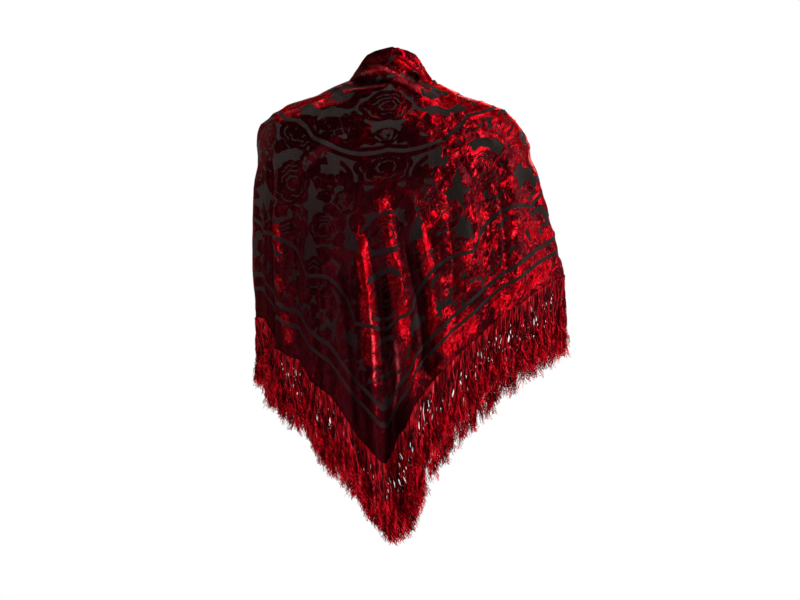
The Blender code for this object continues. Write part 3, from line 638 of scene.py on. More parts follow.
def ring_table(heights, shares):
    """Across, depth and length round of every ring, by height and by share of each half."""
    table = np.zeros((3, len(heights), len(shares)))
    for row, height in enumerate(heights):
        for side in (-1, 1):
            angle, across, depth, length = half_ring(height, side)
            here = shares * side >= 0
            reach = np.abs(shares[here]) * ring_end(height, side)
            table[0, row, here] = side * np.interp(reach, length, across)
            table[1, row, here] = np.interp(reach, length, depth)
            table[2, row, here] = side * reach
    return table


def line_behind(places):
    """A line on the back, by length round the rings and height."""
    return [(length_at_across(across, height), height) for across, height in places]


def line_round(places):
    """A line given in degrees round the rings, by length round them and height."""
    return [(length_at_angle(degrees, height), height) for degrees, height in places]


def distance_to_line(around, height, line):
    """Distance to a line, how far along it the nearest point is, and the line's length."""
    best = np.full(around.shape, np.inf)
    along = np.zeros(around.shape)
    run = 0.0
    for (a0, z0), (a1, z1) in zip(line[:-1], line[1:]):
        step = np.hypot(a1 - a0, z1 - z0)
        place = ((around - a0) * (a1 - a0) + (height - z0) * (z1 - z0)) / step ** 2
        place = np.clip(place, 0.0, 1.0)
        gap = np.hypot(around - a0 - place * (a1 - a0), height - z0 - place * (z1 - z0))
        nearer = gap < best
        best = np.where(nearer, gap, best)
        along = np.where(nearer, run + place * step, along)
        run += step
    return best, along, run


def eased(ramp):
    """A ramp from 0 to 1 with soft ends."""
    return np.sin(np.pi / 2 * ramp) ** 2


def bump_along(around, height, line, half_width, fades, shape=np.positive):
    """A rounded bump along a line that fades in from each end, in the shape of ramp asked for."""
    gap, along, run = distance_to_line(around, height, line)
    bump = 0.5 + 0.5 * np.cos(np.pi * np.clip(gap / half_width, 0.0, 1.0))
    for from_end, fade in zip((along, run - along), fades):
        if fade > 0:
            bump = bump * shape(np.clip(from_end / fade, 0.0, 1.0))
    return bump


def fold_lift(around, height):
    """How far the folds lift the cloth off its ring."""
    lift = np.zeros(around.shape)
    for folds, line in ((FOLDS_BEHIND + FINE_FOLDS_BEHIND, line_behind), (FOLDS_ROUND, line_round)):
        for size, half_width, *fades, places in folds:
            lift += size * bump_along(around, height, line(places), half_width, fades, eased)
    return lift


def scallop_lift(around, height):
    """Short wrinkles across the right side."""
    lift = np.zeros(around.shape)
    for degrees, level, reach in SCALLOPS:
        near = np.exp(-((around - length_at_angle(degrees, level)) / reach) ** 2)
        lift += SCALLOP_LIFT * near * np.exp(-((height - level) / SCALLOP_HALF) ** 2)
    return lift


def soft_noise(across, down, cell, seed):
    """Smooth random heights from -1 to 1 whose lumps are about one cell wide."""
    table = np.random.default_rng(seed).uniform(-1.0, 1.0, (NOISE_CELLS, NOISE_CELLS))
    column = np.floor(across / cell).astype(int)
    row = np.floor(down / cell).astype(int)
    right, below = (part * part * (3.0 - 2.0 * part)
                    for part in (across / cell - column, down / cell - row))
    near, far = (table[line % NOISE_CELLS, column % NOISE_CELLS] * (1 - right)
                 + table[line % NOISE_CELLS, (column + 1) % NOISE_CELLS] * right
                 for line in (row, row + 1))
    return near * (1 - below) + far * below


def crinkle_lift(across, down):
    """Crushed, crinkled surface of the pile."""
    moved = across + NOISE_MOVE
    lift = sum(size * soft_noise(moved, down, cell, seed) for cell, size, seed in CRINKLES)
    turned = across * np.cos(CREASE_TURN) + down * np.sin(CREASE_TURN)
    square = down * np.cos(CREASE_TURN) - across * np.sin(CREASE_TURN)
    bend, cell, seed = CREASE_BEND
    bent = turned + bend * soft_noise(moved, down, cell, seed)
    ridge = soft_noise(bent + CREASE_MOVE, square / CREASE_STRETCH, CREASE_CELL, CREASE_SEED)
    return lift + CREASE_LIFT * np.clip(1.0 - np.abs(ridge) / CREASE_WIDTH, 0.0, 1.0)


def painted_pile_light(around, height, across):
    """Painted light on the pile: painted sheen above nought, painted shade below."""
    side = np.clip((across + PAINTED_LIGHT_CHANGE) / (2.0 * PAINTED_LIGHT_CHANGE), 0.0, 1.0)
    painted_light = PAINTED_LIGHT_LEFT + (PAINTED_LIGHT_RIGHT - PAINTED_LIGHT_LEFT) * side * side * (3.0 - 2.0 * side)
    # Painted highlights and painted shade along the folds
    for change, half_width, *fades, places in PAINTED_LIGHT_LANES:
        bump = bump_along(around, height, line_behind(places), LANE_SPREAD * half_width, fades)
        painted_light += change * np.minimum(1.0, LANE_CORE * bump)
    return np.clip(painted_light, -PAINTED_LIGHT_LIMIT, PAINTED_LIGHT_LIMIT)


def ridge_lines(around, height):
    """Where the pale painted highlights along the ridges run: 1 on the line, 0 away from it."""
    ridge = np.zeros(around.shape)
    for half_width, places in RIDGES:
        gap, along, run = distance_to_line(around, height, line_behind(places))
        faded = np.clip(np.minimum(along, run - along) / RIDGE_FADE, 0.0, 1.0)
        ridge = np.maximum(ridge, np.clip(RIDGE_CORE - gap / half_width, 0.0, 1.0) * faded)
    return ridge


def surface_normals(points):
    """Outward normals of a lattice of points."""
    normal = np.cross(np.gradient(points, axis=0), np.gradient(points, axis=1))
    return normal / np.linalg.norm(normal, axis=2, keepdims=True)


def run_along(points, middle):
    """Length along a row of points, signed from the one in the middle."""
    step = np.linalg.norm(np.diff(points, axis=0), axis=1)
    length = np.concatenate(([0.0], np.cumsum(step)))
    return length - length[middle]


def cut_places(points):
    """Where each point of the drape lies on the flat cut: across, and down from the fold."""
    middle = points.shape[1] // 2
    first = middle - CORNER_SEARCH
    corner = int(np.argmin(points[-1, first:middle + CORNER_SEARCH, 2])) + first
    top, hem = run_along(points[0], middle), run_along(points[-1], corner)
    top_across, hem_across = (half * np.where(run < 0, -run / run[0], run / run[-1])
                              for half, run in ((NECK_CUT_HALF, top), (HALF_DIAGONAL, hem)))
    down = np.linspace(0.0, 1.0, points.shape[0])[:, None]
    across = top_across + (hem_across - top_across) * down
    return across, (HALF_DIAGONAL - np.abs(hem_across)) * down


class Drape:
    """The worn cloth, read at any share round it and any share down each fall."""

    def __init__(self):
        heights = np.linspace(RINGS[-1][0], RINGS[0][0], HEIGHT_STEPS)
        shares = np.linspace(-1.0, 1.0, LATTICE_COLUMNS)
        rings = ring_table(heights, shares)
        fine = np.linspace(0.0, 1.0, 2 * LATTICE_ROWS)
        rows = np.linspace(0.0, 1.0, LATTICE_ROWS)
        points = np.zeros((LATTICE_ROWS, LATTICE_COLUMNS, 3))
        around = np.zeros((LATTICE_ROWS, LATTICE_COLUMNS))
        for column, (top, hem) in enumerate(zip(top_heights(shares), hem_heights(shares))):
            z = top + (hem - top) * fine
            x, y = (np.interp(z, heights, rings[axis, :, column]) for axis in (0, 1))
            step = np.sqrt(np.diff(x) ** 2 + np.diff(y) ** 2 + np.diff(z) ** 2)
            length = np.concatenate(([0.0], np.cumsum(step)))
            level = np.interp(rows * length[-1], length, z)
            x, y, run = (np.interp(level, heights, ring[:, column]) for ring in rings)
            points[:, column] = np.stack((x, y, level), axis=1)
            around[:, column] = run
        self.across, self.down = cut_places(points)
        lift = fold_lift(around, points[:, :, 2]) + scallop_lift(around, points[:, :, 2])
        points += surface_normals(points) * lift[:, :, None]
        crinkle = crinkle_lift(self.across, self.down) - CRINKLE_SINK
        crinkle *= 1.0 - CRINKLE_CALM + CRINKLE_CALM * np.tanh(self.across / CRINKLE_CALM_REACH)
        points += surface_normals(points) * crinkle[:, :, None]
        start, width = LOOSE_EDGE
        loose = np.clip((np.abs(shares) - start) / width, 0.0, 1.0) ** 2 * np.sign(shares)
        wave = sum(size * np.sin(points[:, :, 2] * turns + EDGE_PHASE) for size, turns in EDGE_WAVES)
        points[:, :, 0] += wave * loose
        self.points = points
        self.normals = surface_normals(points)
        self.painted_light = painted_pile_light(around, points[:, :, 2], self.across)
        self.ridge = ridge_lines(around, points[:, :, 2])

    def read(self, table, around, down):
        """A table's values between its rows and columns."""
        column = (np.clip(around, -1.0, 1.0) + 1.0) / 2.0 * (LATTICE_COLUMNS - 1)
        row = np.clip(down, 0.0, 1.0) * (LATTICE_ROWS - 1)
        left = np.minimum(column.astype(int), LATTICE_COLUMNS - 2)
        top = np.minimum(row.astype(int), LATTICE_ROWS - 2)
        right, below = column - left, row - top
        if table.ndim == 3:
            right, below = right[..., None], below[..., None]
        upper, lower = (table[line, left] * (1 - right) + table[line, left + 1] * right
                        for line in (top, top + 1))
        return upper * (1 - below) + lower * below

    def surface(self, around, down, inward=0.0):
        """Points and normals of the cloth, or of a layer further in."""
        normal = self.read(self.normals, around, down)
        normal = normal / np.linalg.norm(normal, axis=-1, keepdims=True)
        return self.read(self.points, around, down) - normal * inward, normal


def rose_edge(dx, dy, radius, petals, turn):
    """Distance and angle from a rose's middle, and how far out its petals reach there."""
    angle = np.arctan2(dy, dx)
    reach = radius * (1.0 - ROSE_SWELL + ROSE_SWELL * np.abs(np.cos(petals * angle / 2.0 + turn)))
    return np.hypot(dx, dy), angle, reach


def rose(dx, dy, *sizes):
    """Height above the edge of a rose."""
    distance, angle, reach = rose_edge(dx, dy, *sizes)
    return reach - distance


def petal_gaps(dx, dy, *sizes):
    """Height above the broken arcs that part a rose's petals."""
    distance, angle, reach = rose_edge(dx, dy, *sizes)
    gaps = np.full(distance.shape, FIELD_LIMIT)
    for ring, (edge_share, arcs, open_share) in enumerate(ROSE_RINGS):
        broken = np.cos(arcs * angle + RING_TURN * ring + ROSE_TURN * sizes[-1]) > open_share
        arc = np.abs(distance - edge_share * reach) - ROSE_GAP
        gaps = np.where(broken, np.minimum(gaps, arc), gaps)
    return gaps


def bud(dx, dy, radius, petals, turn):
    """Height above the edge of a small flower."""
    angle = np.arctan2(dy, dx)
    distance = np.hypot(dx, dy)
    reach = radius * (1.0 - BUD_SWELL + BUD_SWELL * np.cos(petals * angle + turn))
    arc = np.abs(distance - 0.5 * reach) - BUD_GAP
    gap = np.where(np.cos(2.0 * angle + turn) > BUD_OPEN, arc, FIELD_LIMIT)
    return np.minimum(reach - distance, gap)


def leaf(dx, dy, length, width, degrees):
    """Height above the edge of a pointed leaf."""
    turn = np.radians(degrees)
    along = dx * np.cos(turn) + dy * np.sin(turn)
    square = dy * np.cos(turn) - dx * np.sin(turn)
    return width * (1.0 - (along / length) ** 2) - np.abs(square)


def bare_patch(dx, dy, *sizes):
    """Height above the pile that a bare patch leaves."""
    return -leaf(dx, dy, *sizes)


def stem(dx, dy, radius, first, last):
    """Height above the edge of a curling stem."""
    inside = ((np.degrees(np.arctan2(dy, dx)) - first) % 360.0) < (last - first)
    return np.where(inside, STEM_HALF - np.abs(np.hypot(dx, dy) - radius), -FIELD_LIMIT)


def edge_leaves():
    """Leaves in a row along the folded edge, tipped up and down in turn."""
    middles = np.arange(EDGE_LEAF_START, HALF_DIAGONAL, EDGE_LEAF_PITCH)
    return [(middle, EDGE_LEAF_DOWN[number % 2], *EDGE_LEAF_SIZE, EDGE_LEAF_DEGREES[number % 2])
            for number, middle in enumerate(middles)]


def fillers():
    """Small flowers and leaves on a loose lattice over half of the field."""
    chance = np.random.default_rng(FILLER_SEED)
    rose_gap, bare_gap = FILLER_GAPS
    leaf_reach, bud_reach = FILLER_REACH
    rows = int(HALF_DIAGONAL / (FILLER_CELL * ROW_PITCH)) + 1
    for row in range(rows):
        for column in range(rows + 2):
            place = np.array((column + 0.5 * (row % 2), (row + ROW_START) * ROW_PITCH)) * FILLER_CELL
            place += chance.uniform(-FILLER_JITTER, FILLER_JITTER, 2) * FILLER_CELL
            size = chance.uniform(*FILLER_RADIUS)
            turn = chance.uniform(0.0, 360.0)
            kind = chance.integers(0, 3)
            outside = place[0] + place[1] > HALF_DIAGONAL or place[0] < FILLER_START
            on_rose = any(np.hypot(*(place - old[:2])) < old[2] + rose_gap * size for old in ROSES)
            on_bare = any(np.hypot(*(place - old[:2])) < old[3] + bare_gap * size for old in BARE)
            if outside or on_rose or on_bare:
                continue
            if kind == 0:
                length, width = (part * size for part in FILLER_LEAF)
                yield leaf, (*place, length, width, turn), size * leaf_reach
            else:
                yield bud, (*place, size, 4 + kind, turn), size * bud_reach


def shape_near(across, down, shape, row, reach):
    """Where a shape reaches, and its height there, from a row with its middle and its sizes."""
    dx = across - row[0]
    dy = down - row[1]
    near = np.hypot(dx, dy) < reach
    return near, shape(dx[near], dy[near], *row[2:])


def draw(over, under, across, down, *motif):
    """Adds one motif where it reaches, over or under those already drawn."""
    near, height = shape_near(across, down, *motif)
    under[near] = np.maximum(under[near], np.minimum(over[near], height))
    over[near] = np.maximum(over[near], height)


def pare(field, across, down, *cutout):
    """Lowers the field where a shape is cut out of the pile."""
    near, height = shape_near(across, down, *cutout)
    field[near] = np.minimum(field[near], height)


def frame_line(field, distance, wave, start, rise):
    """A scalloped chiffon line with a narrow band of pile on each side of it."""
    line = np.abs(distance - start - rise * np.abs(np.sin(wave)))
    band = LINE_HALF + LINE_BAND - line
    return np.minimum(np.maximum(field, band), line - LINE_HALF)


def pile_field(across, down):
    """Height above the edge of the pile: velvet where positive, bare chiffon where not."""
    half = np.abs(across)
    field = np.full(half.shape, -FIELD_LIMIT)
    under = field.copy()
    motifs = [(rose, row, row[2] * ROSE_REACH) for row in ROSES]
    motifs += [(leaf, row, row[2] * LEAF_REACH) for row in [*LEAVES, *edge_leaves()]]
    for motif in [*motifs, *fillers()]:
        draw(field, under, half, down, *motif)
    swell = np.interp(across, PATTERN_SIDES, MOTIF_SWELL)
    parting = (field - under) / 2.0 - np.interp(across, PATTERN_SIDES, PARTING)
    field = np.where(under + swell > 0.0, np.minimum(field + swell, parting), field + swell)
    for row in STEMS:
        draw(field, under, half, down, stem, row, row[2] * STEM_REACH)
    for row in ROSES:
        pare(field, half, down, petal_gaps, row, row[2])
    for row in BARE:
        pare(field, half, down, bare_patch, row, row[2] * BARE_REACH)
    from_hem = (HALF_DIAGONAL - half - down) / np.sqrt(2.0)
    along_hem = (half - down) / np.sqrt(2.0)
    field = frame_line(field, from_hem, np.pi * along_hem / HEM_SCALLOP_LENGTH, *HEM_SCALLOP)
    neck_wave = NECK_SCALLOP_LOBES * np.arctan2(down, half) / 2.0
    field = frame_line(field, np.hypot(half, down), neck_wave, *NECK_SCALLOP)
    border = np.full(half.shape, FIELD_LIMIT)
    for middle, half_width in BORDER_LINES:
        border = np.minimum(border, np.abs(from_hem - middle) - half_width)
    return np.where(from_hem < FIELD_START, border, np.minimum(field, FIELD_LIMIT))


class Nodes:
    """The nodes of a material, or of the surround, as they are put together."""

    def __init__(self, owner):
        owner.use_nodes = True
        self.owner = owner
        self.tree = owner.node_tree

    def feed(self, node, inputs):
        """Sets a node's inputs: each is a value, or the output of another node."""
        for name, value in inputs.items():
            if isinstance(value, bpy.types.NodeSocket):
                self.tree.links.new(value, node.inputs[name])
            else:
                node.inputs[name].default_value = value

    def node(self, kind, inputs, output=0, **settings):
        """Adds a node and gives one of its outputs."""
        made = self.tree.nodes.new("ShaderNode" + kind)
        for name, value in settings.items():
            setattr(made, name, value)
        self.feed(made, inputs)
        return made.outputs[output]

    def noise(self, vector, scale, detail, roughness=0.5, distortion=0.0, output="Fac"):
        inputs = {"Vector": vector, "Scale": scale, "Detail": detail, "Roughness": roughness,
                  "Distortion": distortion}
        return self.node("TexNoise", inputs, output)

    def maths(self, operation, *values):
        return self.node("Math", dict(enumerate(values)), operation=operation)

    def vectors(self, operation, *values):
        return self.node("VectorMath", dict(enumerate(values)), operation=operation)

    def scaled(self, vector, scale):
        return self.node("VectorMath", {0: vector, "Scale": scale}, operation="SCALE")

    def ranged(self, value, low, high, to_low=0.0, to_high=1.0):
        """A value eased from one range to another."""
        inputs = {"Value": value, "From Min": low, "From Max": high, "To Min": to_low,
                  "To Max": to_high}
        return self.node("MapRange", inputs, "Result", interpolation_type="SMOOTHSTEP")

    def mix(self, factor, first, second):
        return self.node("Mix", {0: factor, 6: first, 7: second}, 2, data_type="RGBA")

    def lean(self, vector, scale, strength, detail, distortion):
        """A lean of the pile to a random side, patch by patch, as a vector."""
        noise = self.noise(vector, scale, detail, distortion=distortion, output="Color")
        return self.scaled(self.vectors("SUBTRACT", noise, (0.5, 0.5, 0.5)), strength)


def velvet_material():
    """Crushed pile on a bare ground, parted by the pattern, with painted sheen, painted highlights and
    painted shade in its colour.
    """
    velvet = Nodes(bpy.data.materials.new("burnout_velvet"))
    maths, ranged, mix, noise = velvet.maths, velvet.ranged, velvet.mix, velvet.noise
    cut = velvet.node("UVMap", {}, "UV", uv_map="Cut")
    pile, painted_light, ridge = (velvet.node("Attribute", {}, "Fac", attribute_name=name)
                        for name in ("pile", "painted_light", "ridge"))
    turned = {"Vector": cut, "Rotation": (0.0, 0.0, CREASE_TURN), "Scale": STREAK_SCALE}
    streaked = velvet.node("Mapping", turned, "Vector")
    wobble = maths("MULTIPLY", maths("SUBTRACT", noise(cut, *WOBBLE_NOISE), 0.5), WOBBLE_SIZE)
    is_pile = ranged(maths("ADD", pile, wobble), *PILE_EDGE)

    crushed = noise(streaked, *CRUSH_NOISE)
    fine = noise(cut, *FINE_NOISE)
    # Random tone of the crushed pile, with the painted light added in
    lay_and_light = maths("ADD", maths("MULTIPLY", noise(cut, *BROAD_NOISE), BROAD_SHARE),
                maths("MULTIPLY", crushed, 1.0 - BROAD_SHARE))
    lay_and_light = maths("ADD", lay_and_light, maths("MULTIPLY", painted_light, PAINTED_LIGHT_SHARE))
    # The bright pile colour is painted sheen on the crushed patches, held down where the pile is
    # painted in shade
    crush_and_sheen = maths("MULTIPLY", ranged(lay_and_light, *CRUSH_SHEEN_RANGE), ranged(painted_light, *SHADE_SIDE_RANGE))
    colour = mix(crush_and_sheen, mix(ranged(lay_and_light, *DEEP_RANGE), PILE_DEEP, PILE_MIDDLE), PILE_SHEEN)
    # Pale crinkle lines are painted highlights, shown only where the pile is painted lit
    crinkle = maths("ABSOLUTE", maths("SUBTRACT", noise(streaked, *CRINKLE_NOISE), 0.5))
    crinkle = maths("MULTIPLY", ranged(crinkle, *CRINKLE_RANGE), ranged(painted_light, *CRINKLE_LIGHT_RANGE))
    # Pale painted highlights along the ridges of the cloth
    ridge_highlight = maths("MULTIPLY", ridge, ranged(crushed, *RIDGE_HIGHLIGHT_RANGE))
    colour = mix(maths("MAXIMUM", crinkle, ridge_highlight), colour, PAINTED_HIGHLIGHT)
    across, down = (velvet.node("SeparateXYZ", {0: cut}, axis) for axis in "XY")
    ground = mix(ranged(down, *CHIFFON_DOWN), CHIFFON_UPPER, CHIFFON_LOWER)
    ground = mix(ranged(across, *CHIFFON_ACROSS), ground, CHIFFON_RIGHT)
    rough = maths("ADD", ranged(fine, *PILE_ROUGHNESS), ranged(is_pile, *CHIFFON_ROUGHNESS))

    lean = velvet.lean(cut, *BROAD_LEAN)
    for row in FINE_LEANS:
        lean = velvet.vectors("ADD", lean, velvet.lean(streaked, *row))
    lean = velvet.scaled(lean, maths("MULTIPLY", is_pile, ranged(crush_and_sheen, *CRUSH_RANGE)))
    swing = [far - near for near, far in zip(LIES_SHUT, LIES_OPEN)]
    combed = velvet.vectors("MULTIPLY_ADD", maths("MULTIPLY", is_pile, crush_and_sheen), swing, LIES_SHUT)
    relief = maths("ADD", maths("MULTIPLY", is_pile, PILE_RELIEF),
                   maths("MULTIPLY", fine, FINE_RELIEF))
    relief = maths("ADD", relief, maths("MULTIPLY", crushed, CRUSH_RELIEF))
    upright = velvet.node("Bump", {"Strength": 1.0, "Distance": 1.0, "Height": relief}, "Normal")
    leaning = velvet.vectors("ADD", upright, velvet.vectors("ADD", lean, combed))
    velvet.feed(velvet.tree.nodes["Principled BSDF"], {
        "Base Color": mix(is_pile, ground, colour),
        "Metallic": maths("MULTIPLY", is_pile, ranged(crush_and_sheen, *METAL_RANGE)),
        "Roughness": rough,
        "Sheen Weight": SHEEN_WEIGHT, "Sheen Roughness": 0.35, "Sheen Tint": SHEEN_RED,
        "Specular IOR Level": 0.12, "Specular Tint": (1.0, 0.20, 0.20, 1.0),
        "Normal": velvet.vectors("NORMALIZE", leaning),
    })
    return velvet.owner


def fringe_material(name, deep, bright, pale):
    """Twisted silk."""
    silk = Nodes(bpy.data.materials.new(name))
    place = silk.node("TexCoord", {}, "Object")
    drawn_out = silk.node("Mapping", {"Vector": place, "Scale": DRAWN_OUT}, "Vector")
    patch = silk.noise(drawn_out, *SILK_NOISE)
    colour = silk.mix(silk.ranged(patch, *SILK_BRIGHT_RANGE), deep, bright)
    colour = silk.mix(silk.ranged(patch, *SILK_PALE_RANGE), colour, pale)
    twist = silk.node("TexWave", {"Vector": place, "Scale": TWIST_SCALE, "Distortion": 1.0}, "Fac",
                      wave_type="BANDS", bands_direction="DIAGONAL")
    bump = {"Strength": 0.6, "Distance": TWIST_DEPTH, "Height": twist}
    silk.feed(silk.tree.nodes["Principled BSDF"], {
        "Base Color": colour, "Roughness": 0.50,
        "Sheen Weight": SHEEN_WEIGHT, "Sheen Roughness": 0.30, "Sheen Tint": SHEEN_RED,
        "Specular IOR Level": 0.10, "Specular Tint": (1.0, 0.15, 0.18, 1.0),
        "Normal": silk.node("Bump", bump, "Normal"),
    })
    return silk.owner


def add_piece(name, mesh, material):
    """Links a finished mesh as a piece that rides on the part's one body."""
    mesh.materials.append(material)
    mesh.shade_smooth()
    piece = bpy.data.objects.new(name, mesh)
    bpy.context.scene.collection.objects.link(piece)
    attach(piece, "root")
    return piece


def flat_sheet(name, columns, rows, reverse=False):
    """A flat sheet, one unit square, and how far across and up it each of its points lies."""
    sheet = bmesh.new()
    bmesh.ops.create_grid(sheet, x_segments=columns, y_segments=rows, size=0.5)
    bmesh.ops.translate(sheet, verts=sheet.verts[:], vec=(0.5, 0.5, 0.0))
    if reverse:
        bmesh.ops.reverse_faces(sheet, faces=sheet.faces[:])
    mesh = bpy.data.meshes.new(name)
    sheet.to_mesh(mesh)
    sheet.free()
    flat = np.zeros(len(mesh.vertices) * 3)
    mesh.vertices.foreach_get("co", flat)
    return mesh, flat[0::3], flat[1::3]


def lay_cloth(mesh, drape, points, around, share_down):
    """Places a mesh's points, and writes its flat cut, pattern, painted light and painted ridge
    highlights.
    """
    mesh.vertices.foreach_set("co", points.astype(np.float32).ravel())
    mesh.update()
    across = drape.read(drape.across, around, share_down)
    down = drape.read(drape.down, around, share_down)
    corners = np.zeros(len(mesh.loops), dtype=np.int32)
    mesh.loops.foreach_get("vertex_index", corners)
    cut = np.stack((across + 1.0, down), axis=1)[corners]
    mesh.uv_layers.new(name="Cut").data.foreach_set("uv", cut.astype(np.float32).ravel())
    for name, values in (("pile", pile_field(across, down)),
                         ("painted_light", drape.read(drape.painted_light, around, share_down)),
                         ("ridge", drape.read(drape.ridge, around, share_down))):
        written = mesh.attributes.new(name, "FLOAT", "POINT")
        written.data.foreach_set("value", values.astype(np.float32))


def make_cloth(drape, name, runs, rows, inward, material):
    """One face of the cloth: a flat sheet laid on the drape, closer meshed where it is seen."""
    parts = [np.linspace(first, last, count, endpoint=False) for first, last, count in runs]
    shares = np.concatenate((*parts, [1.0]))
    mesh, across, up = flat_sheet(name, len(shares) - 1, rows, inward > 0)
    around = shares[np.rint(across * (len(shares) - 1)).astype(int)]
    down = 1.0 - up
    lay_cloth(mesh, drape, drape.surface(around, down, inward)[0], around, down)
    return add_piece(name, mesh, material)


def edge_path(steps_down, steps_round):
    """The folded edge: up the left front, round the neck and down the right front."""
    left = [(-1.0, 1.0 - step / steps_down) for step in range(steps_down)]
    neck = [(-1.0 + 2.0 * step / steps_round, 0.0) for step in range(steps_round)]
    right = [(1.0, step / steps_down) for step in range(steps_down + 1)]
    return np.array(left + neck + right)


def make_roll(drape, name, path, beyond, profile, material):
    """A roll along an edge: a flat strip bent round the profile."""
    mesh, across, up = flat_sheet(name, len(path) - 1, len(profile) - 1)
    row = np.rint(across * (len(path) - 1)).astype(int)
    step = np.rint(up * (len(profile) - 1)).astype(int)
    points, normals = drape.surface(path[:, 0], path[:, 1])
    outwards = points - drape.surface(beyond[:, 0], beyond[:, 1])[0]
    outwards -= normals * np.sum(outwards * normals, axis=1, keepdims=True)
    outwards /= np.linalg.norm(outwards, axis=1, keepdims=True)
    for passes in range(ROLL_SMOOTHING):
        outwards[1:-1] = (outwards[:-2] + 2.0 * outwards[1:-1] + outwards[2:]) / 4.0
    outwards /= np.linalg.norm(outwards, axis=1, keepdims=True)
    bends = np.array(profile)
    made = points[row] + outwards[row] * bends[step, 0:1] - normals[row] * bends[step, 1:2]
    lay_cloth(mesh, drape, made, path[row, 0], path[row, 1])
    return add_piece(name, mesh, material)


def strand_fall(around, share_down):
    """How far the strands have drifted across and in depth, and how long they hang."""
    shares, falls, swings = zip(*STRAND_FALL)
    turn = 2.0 * np.pi * around * SWAY_WAVES
    sideways = SWAY * np.sin(turn + SWAY_PHASE) + np.interp(around, shares, swings)
    in_depth = SWAY_DEPTHWISE * np.cos(turn)
    return sideways * share_down, in_depth * share_down, np.interp(around, shares, falls)


def strand_roots(drape):
    """Shares of the strands' roots along the cut's hem, closer together at the corner."""
    shares = np.linspace(-1.0, 1.0, HEM_SHARES)
    along = drape.read(drape.across, shares, np.ones(HEM_SHARES)) * np.sqrt(2.0)
    crowd = 1.0 + TIP_CROWD * np.exp(-(along / TIP_REACH) ** 2)
    filled = np.concatenate(([0.0], np.cumsum(crowd[:-1] * np.diff(along))))
    count = int(filled[-1] / STRAND_PITCH)
    return np.interp(np.linspace(HEM_END_GAP, filled[-1] - HEM_END_GAP, count), filled, shares)


def thread_curve(name, threads, radius, material, flat=False):
    """Joined threads as one mesh, from a curve with a spline for each: round or flat."""
    curve = bpy.data.curves.new(name, "CURVE")
    curve.dimensions = "3D"
    if flat:
        curve.extrude = radius
    else:
        curve.bevel_depth = radius
        curve.bevel_resolution = 0
        curve.use_fill_caps = True
    for points, thickness in threads:
        spline = curve.splines.new("POLY")
        spline.points.add(len(points) - 1)
        placed = np.concatenate((points, np.ones((len(points), 1))), axis=1)
        spline.points.foreach_set("co", placed.astype(np.float32).ravel())
        spline.points.foreach_set("radius", thickness.astype(np.float32))
        if flat:
            twist = np.linspace(0.0, RIBBON_TWIST, len(points)) + RIBBON_TURNS * points[0, 0]
            spline.points.foreach_set("tilt", twist.astype(np.float32))
    holder = bpy.data.objects.new(name, curve)
    bpy.context.scene.collection.objects.link(holder)
    evaluated = holder.evaluated_get(bpy.context.evaluated_depsgraph_get())
    mesh = bpy.data.meshes.new_from_object(evaluated)
    bpy.data.objects.remove(holder)
    bpy.data.curves.remove(curve)
    mesh.name = name
    mesh.materials.clear()
    return add_piece(name, mesh, material)


def strand_path(chance, drape, root, normal, around, number, steps):
    """One strand's path from its root, gathered into its bundle, and its length and phases."""
    behind = 0.5 * (number % 2)
    bundle = np.floor(around / CLUMP_SHARE + behind)
    clump = np.clip((bundle + 0.5 - behind) * CLUMP_SHARE, -1.0, 1.0)
    clump_point = drape.surface(np.array([clump]), np.array([1.0]))[0][0]
    across, depth, length = strand_fall(around, steps ** DRIFT_POWER)
    length *= 1.0 + chance.uniform(-LENGTH_SPREAD, LENGTH_SPREAD)
    across = across + chance.uniform(-DRIFT_SPREAD, DRIFT_SPREAD) * steps
    phase = PHASE_TURN * bundle + np.arange(4) + chance.uniform(-PHASE_SPREAD, PHASE_SPREAD, 4)
    waves = WIGGLE_WAVES + np.sin(WAVE_TURN * bundle + np.arange(2))
    waves += chance.uniform(-WAVE_SPREAD, WAVE_SPREAD, 2)
    size = WIGGLE * chance.uniform(*WIGGLE_RANGE) * np.minimum(1.0, steps * WIGGLE_START)
    path = root + np.stack((across, depth, -length * steps), axis=1)
    path[:, :2] += (size * np.sin(2 * np.pi * waves[:, None] * steps + phase[:2, None])).T
    gathered = np.clip(steps * CLUMP_START, 0.0, 1.0) ** CLUMP_POWER
    pull = np.interp(abs(around), *zip(*CLUMP_PULL)) * gathered
    path[:, :2] += (clump_point - root)[:2] * pull[:, None]
    turn = CLUMP_WAVE_TURN * steps + CLUMP_WAVE_STEP * bundle + behind
    path[:, 0] += CLUMP_WAVE * np.sin(turn) * steps
    path -= normal * LAYER_DEPTH * (number % 2) * np.minimum(1.0, steps * LAYER_START)[:, None]
    path[0] = root + normal * ROOT_LIFT + (0.0, 0.0, ROOT_RISE)
    return path, length, phase


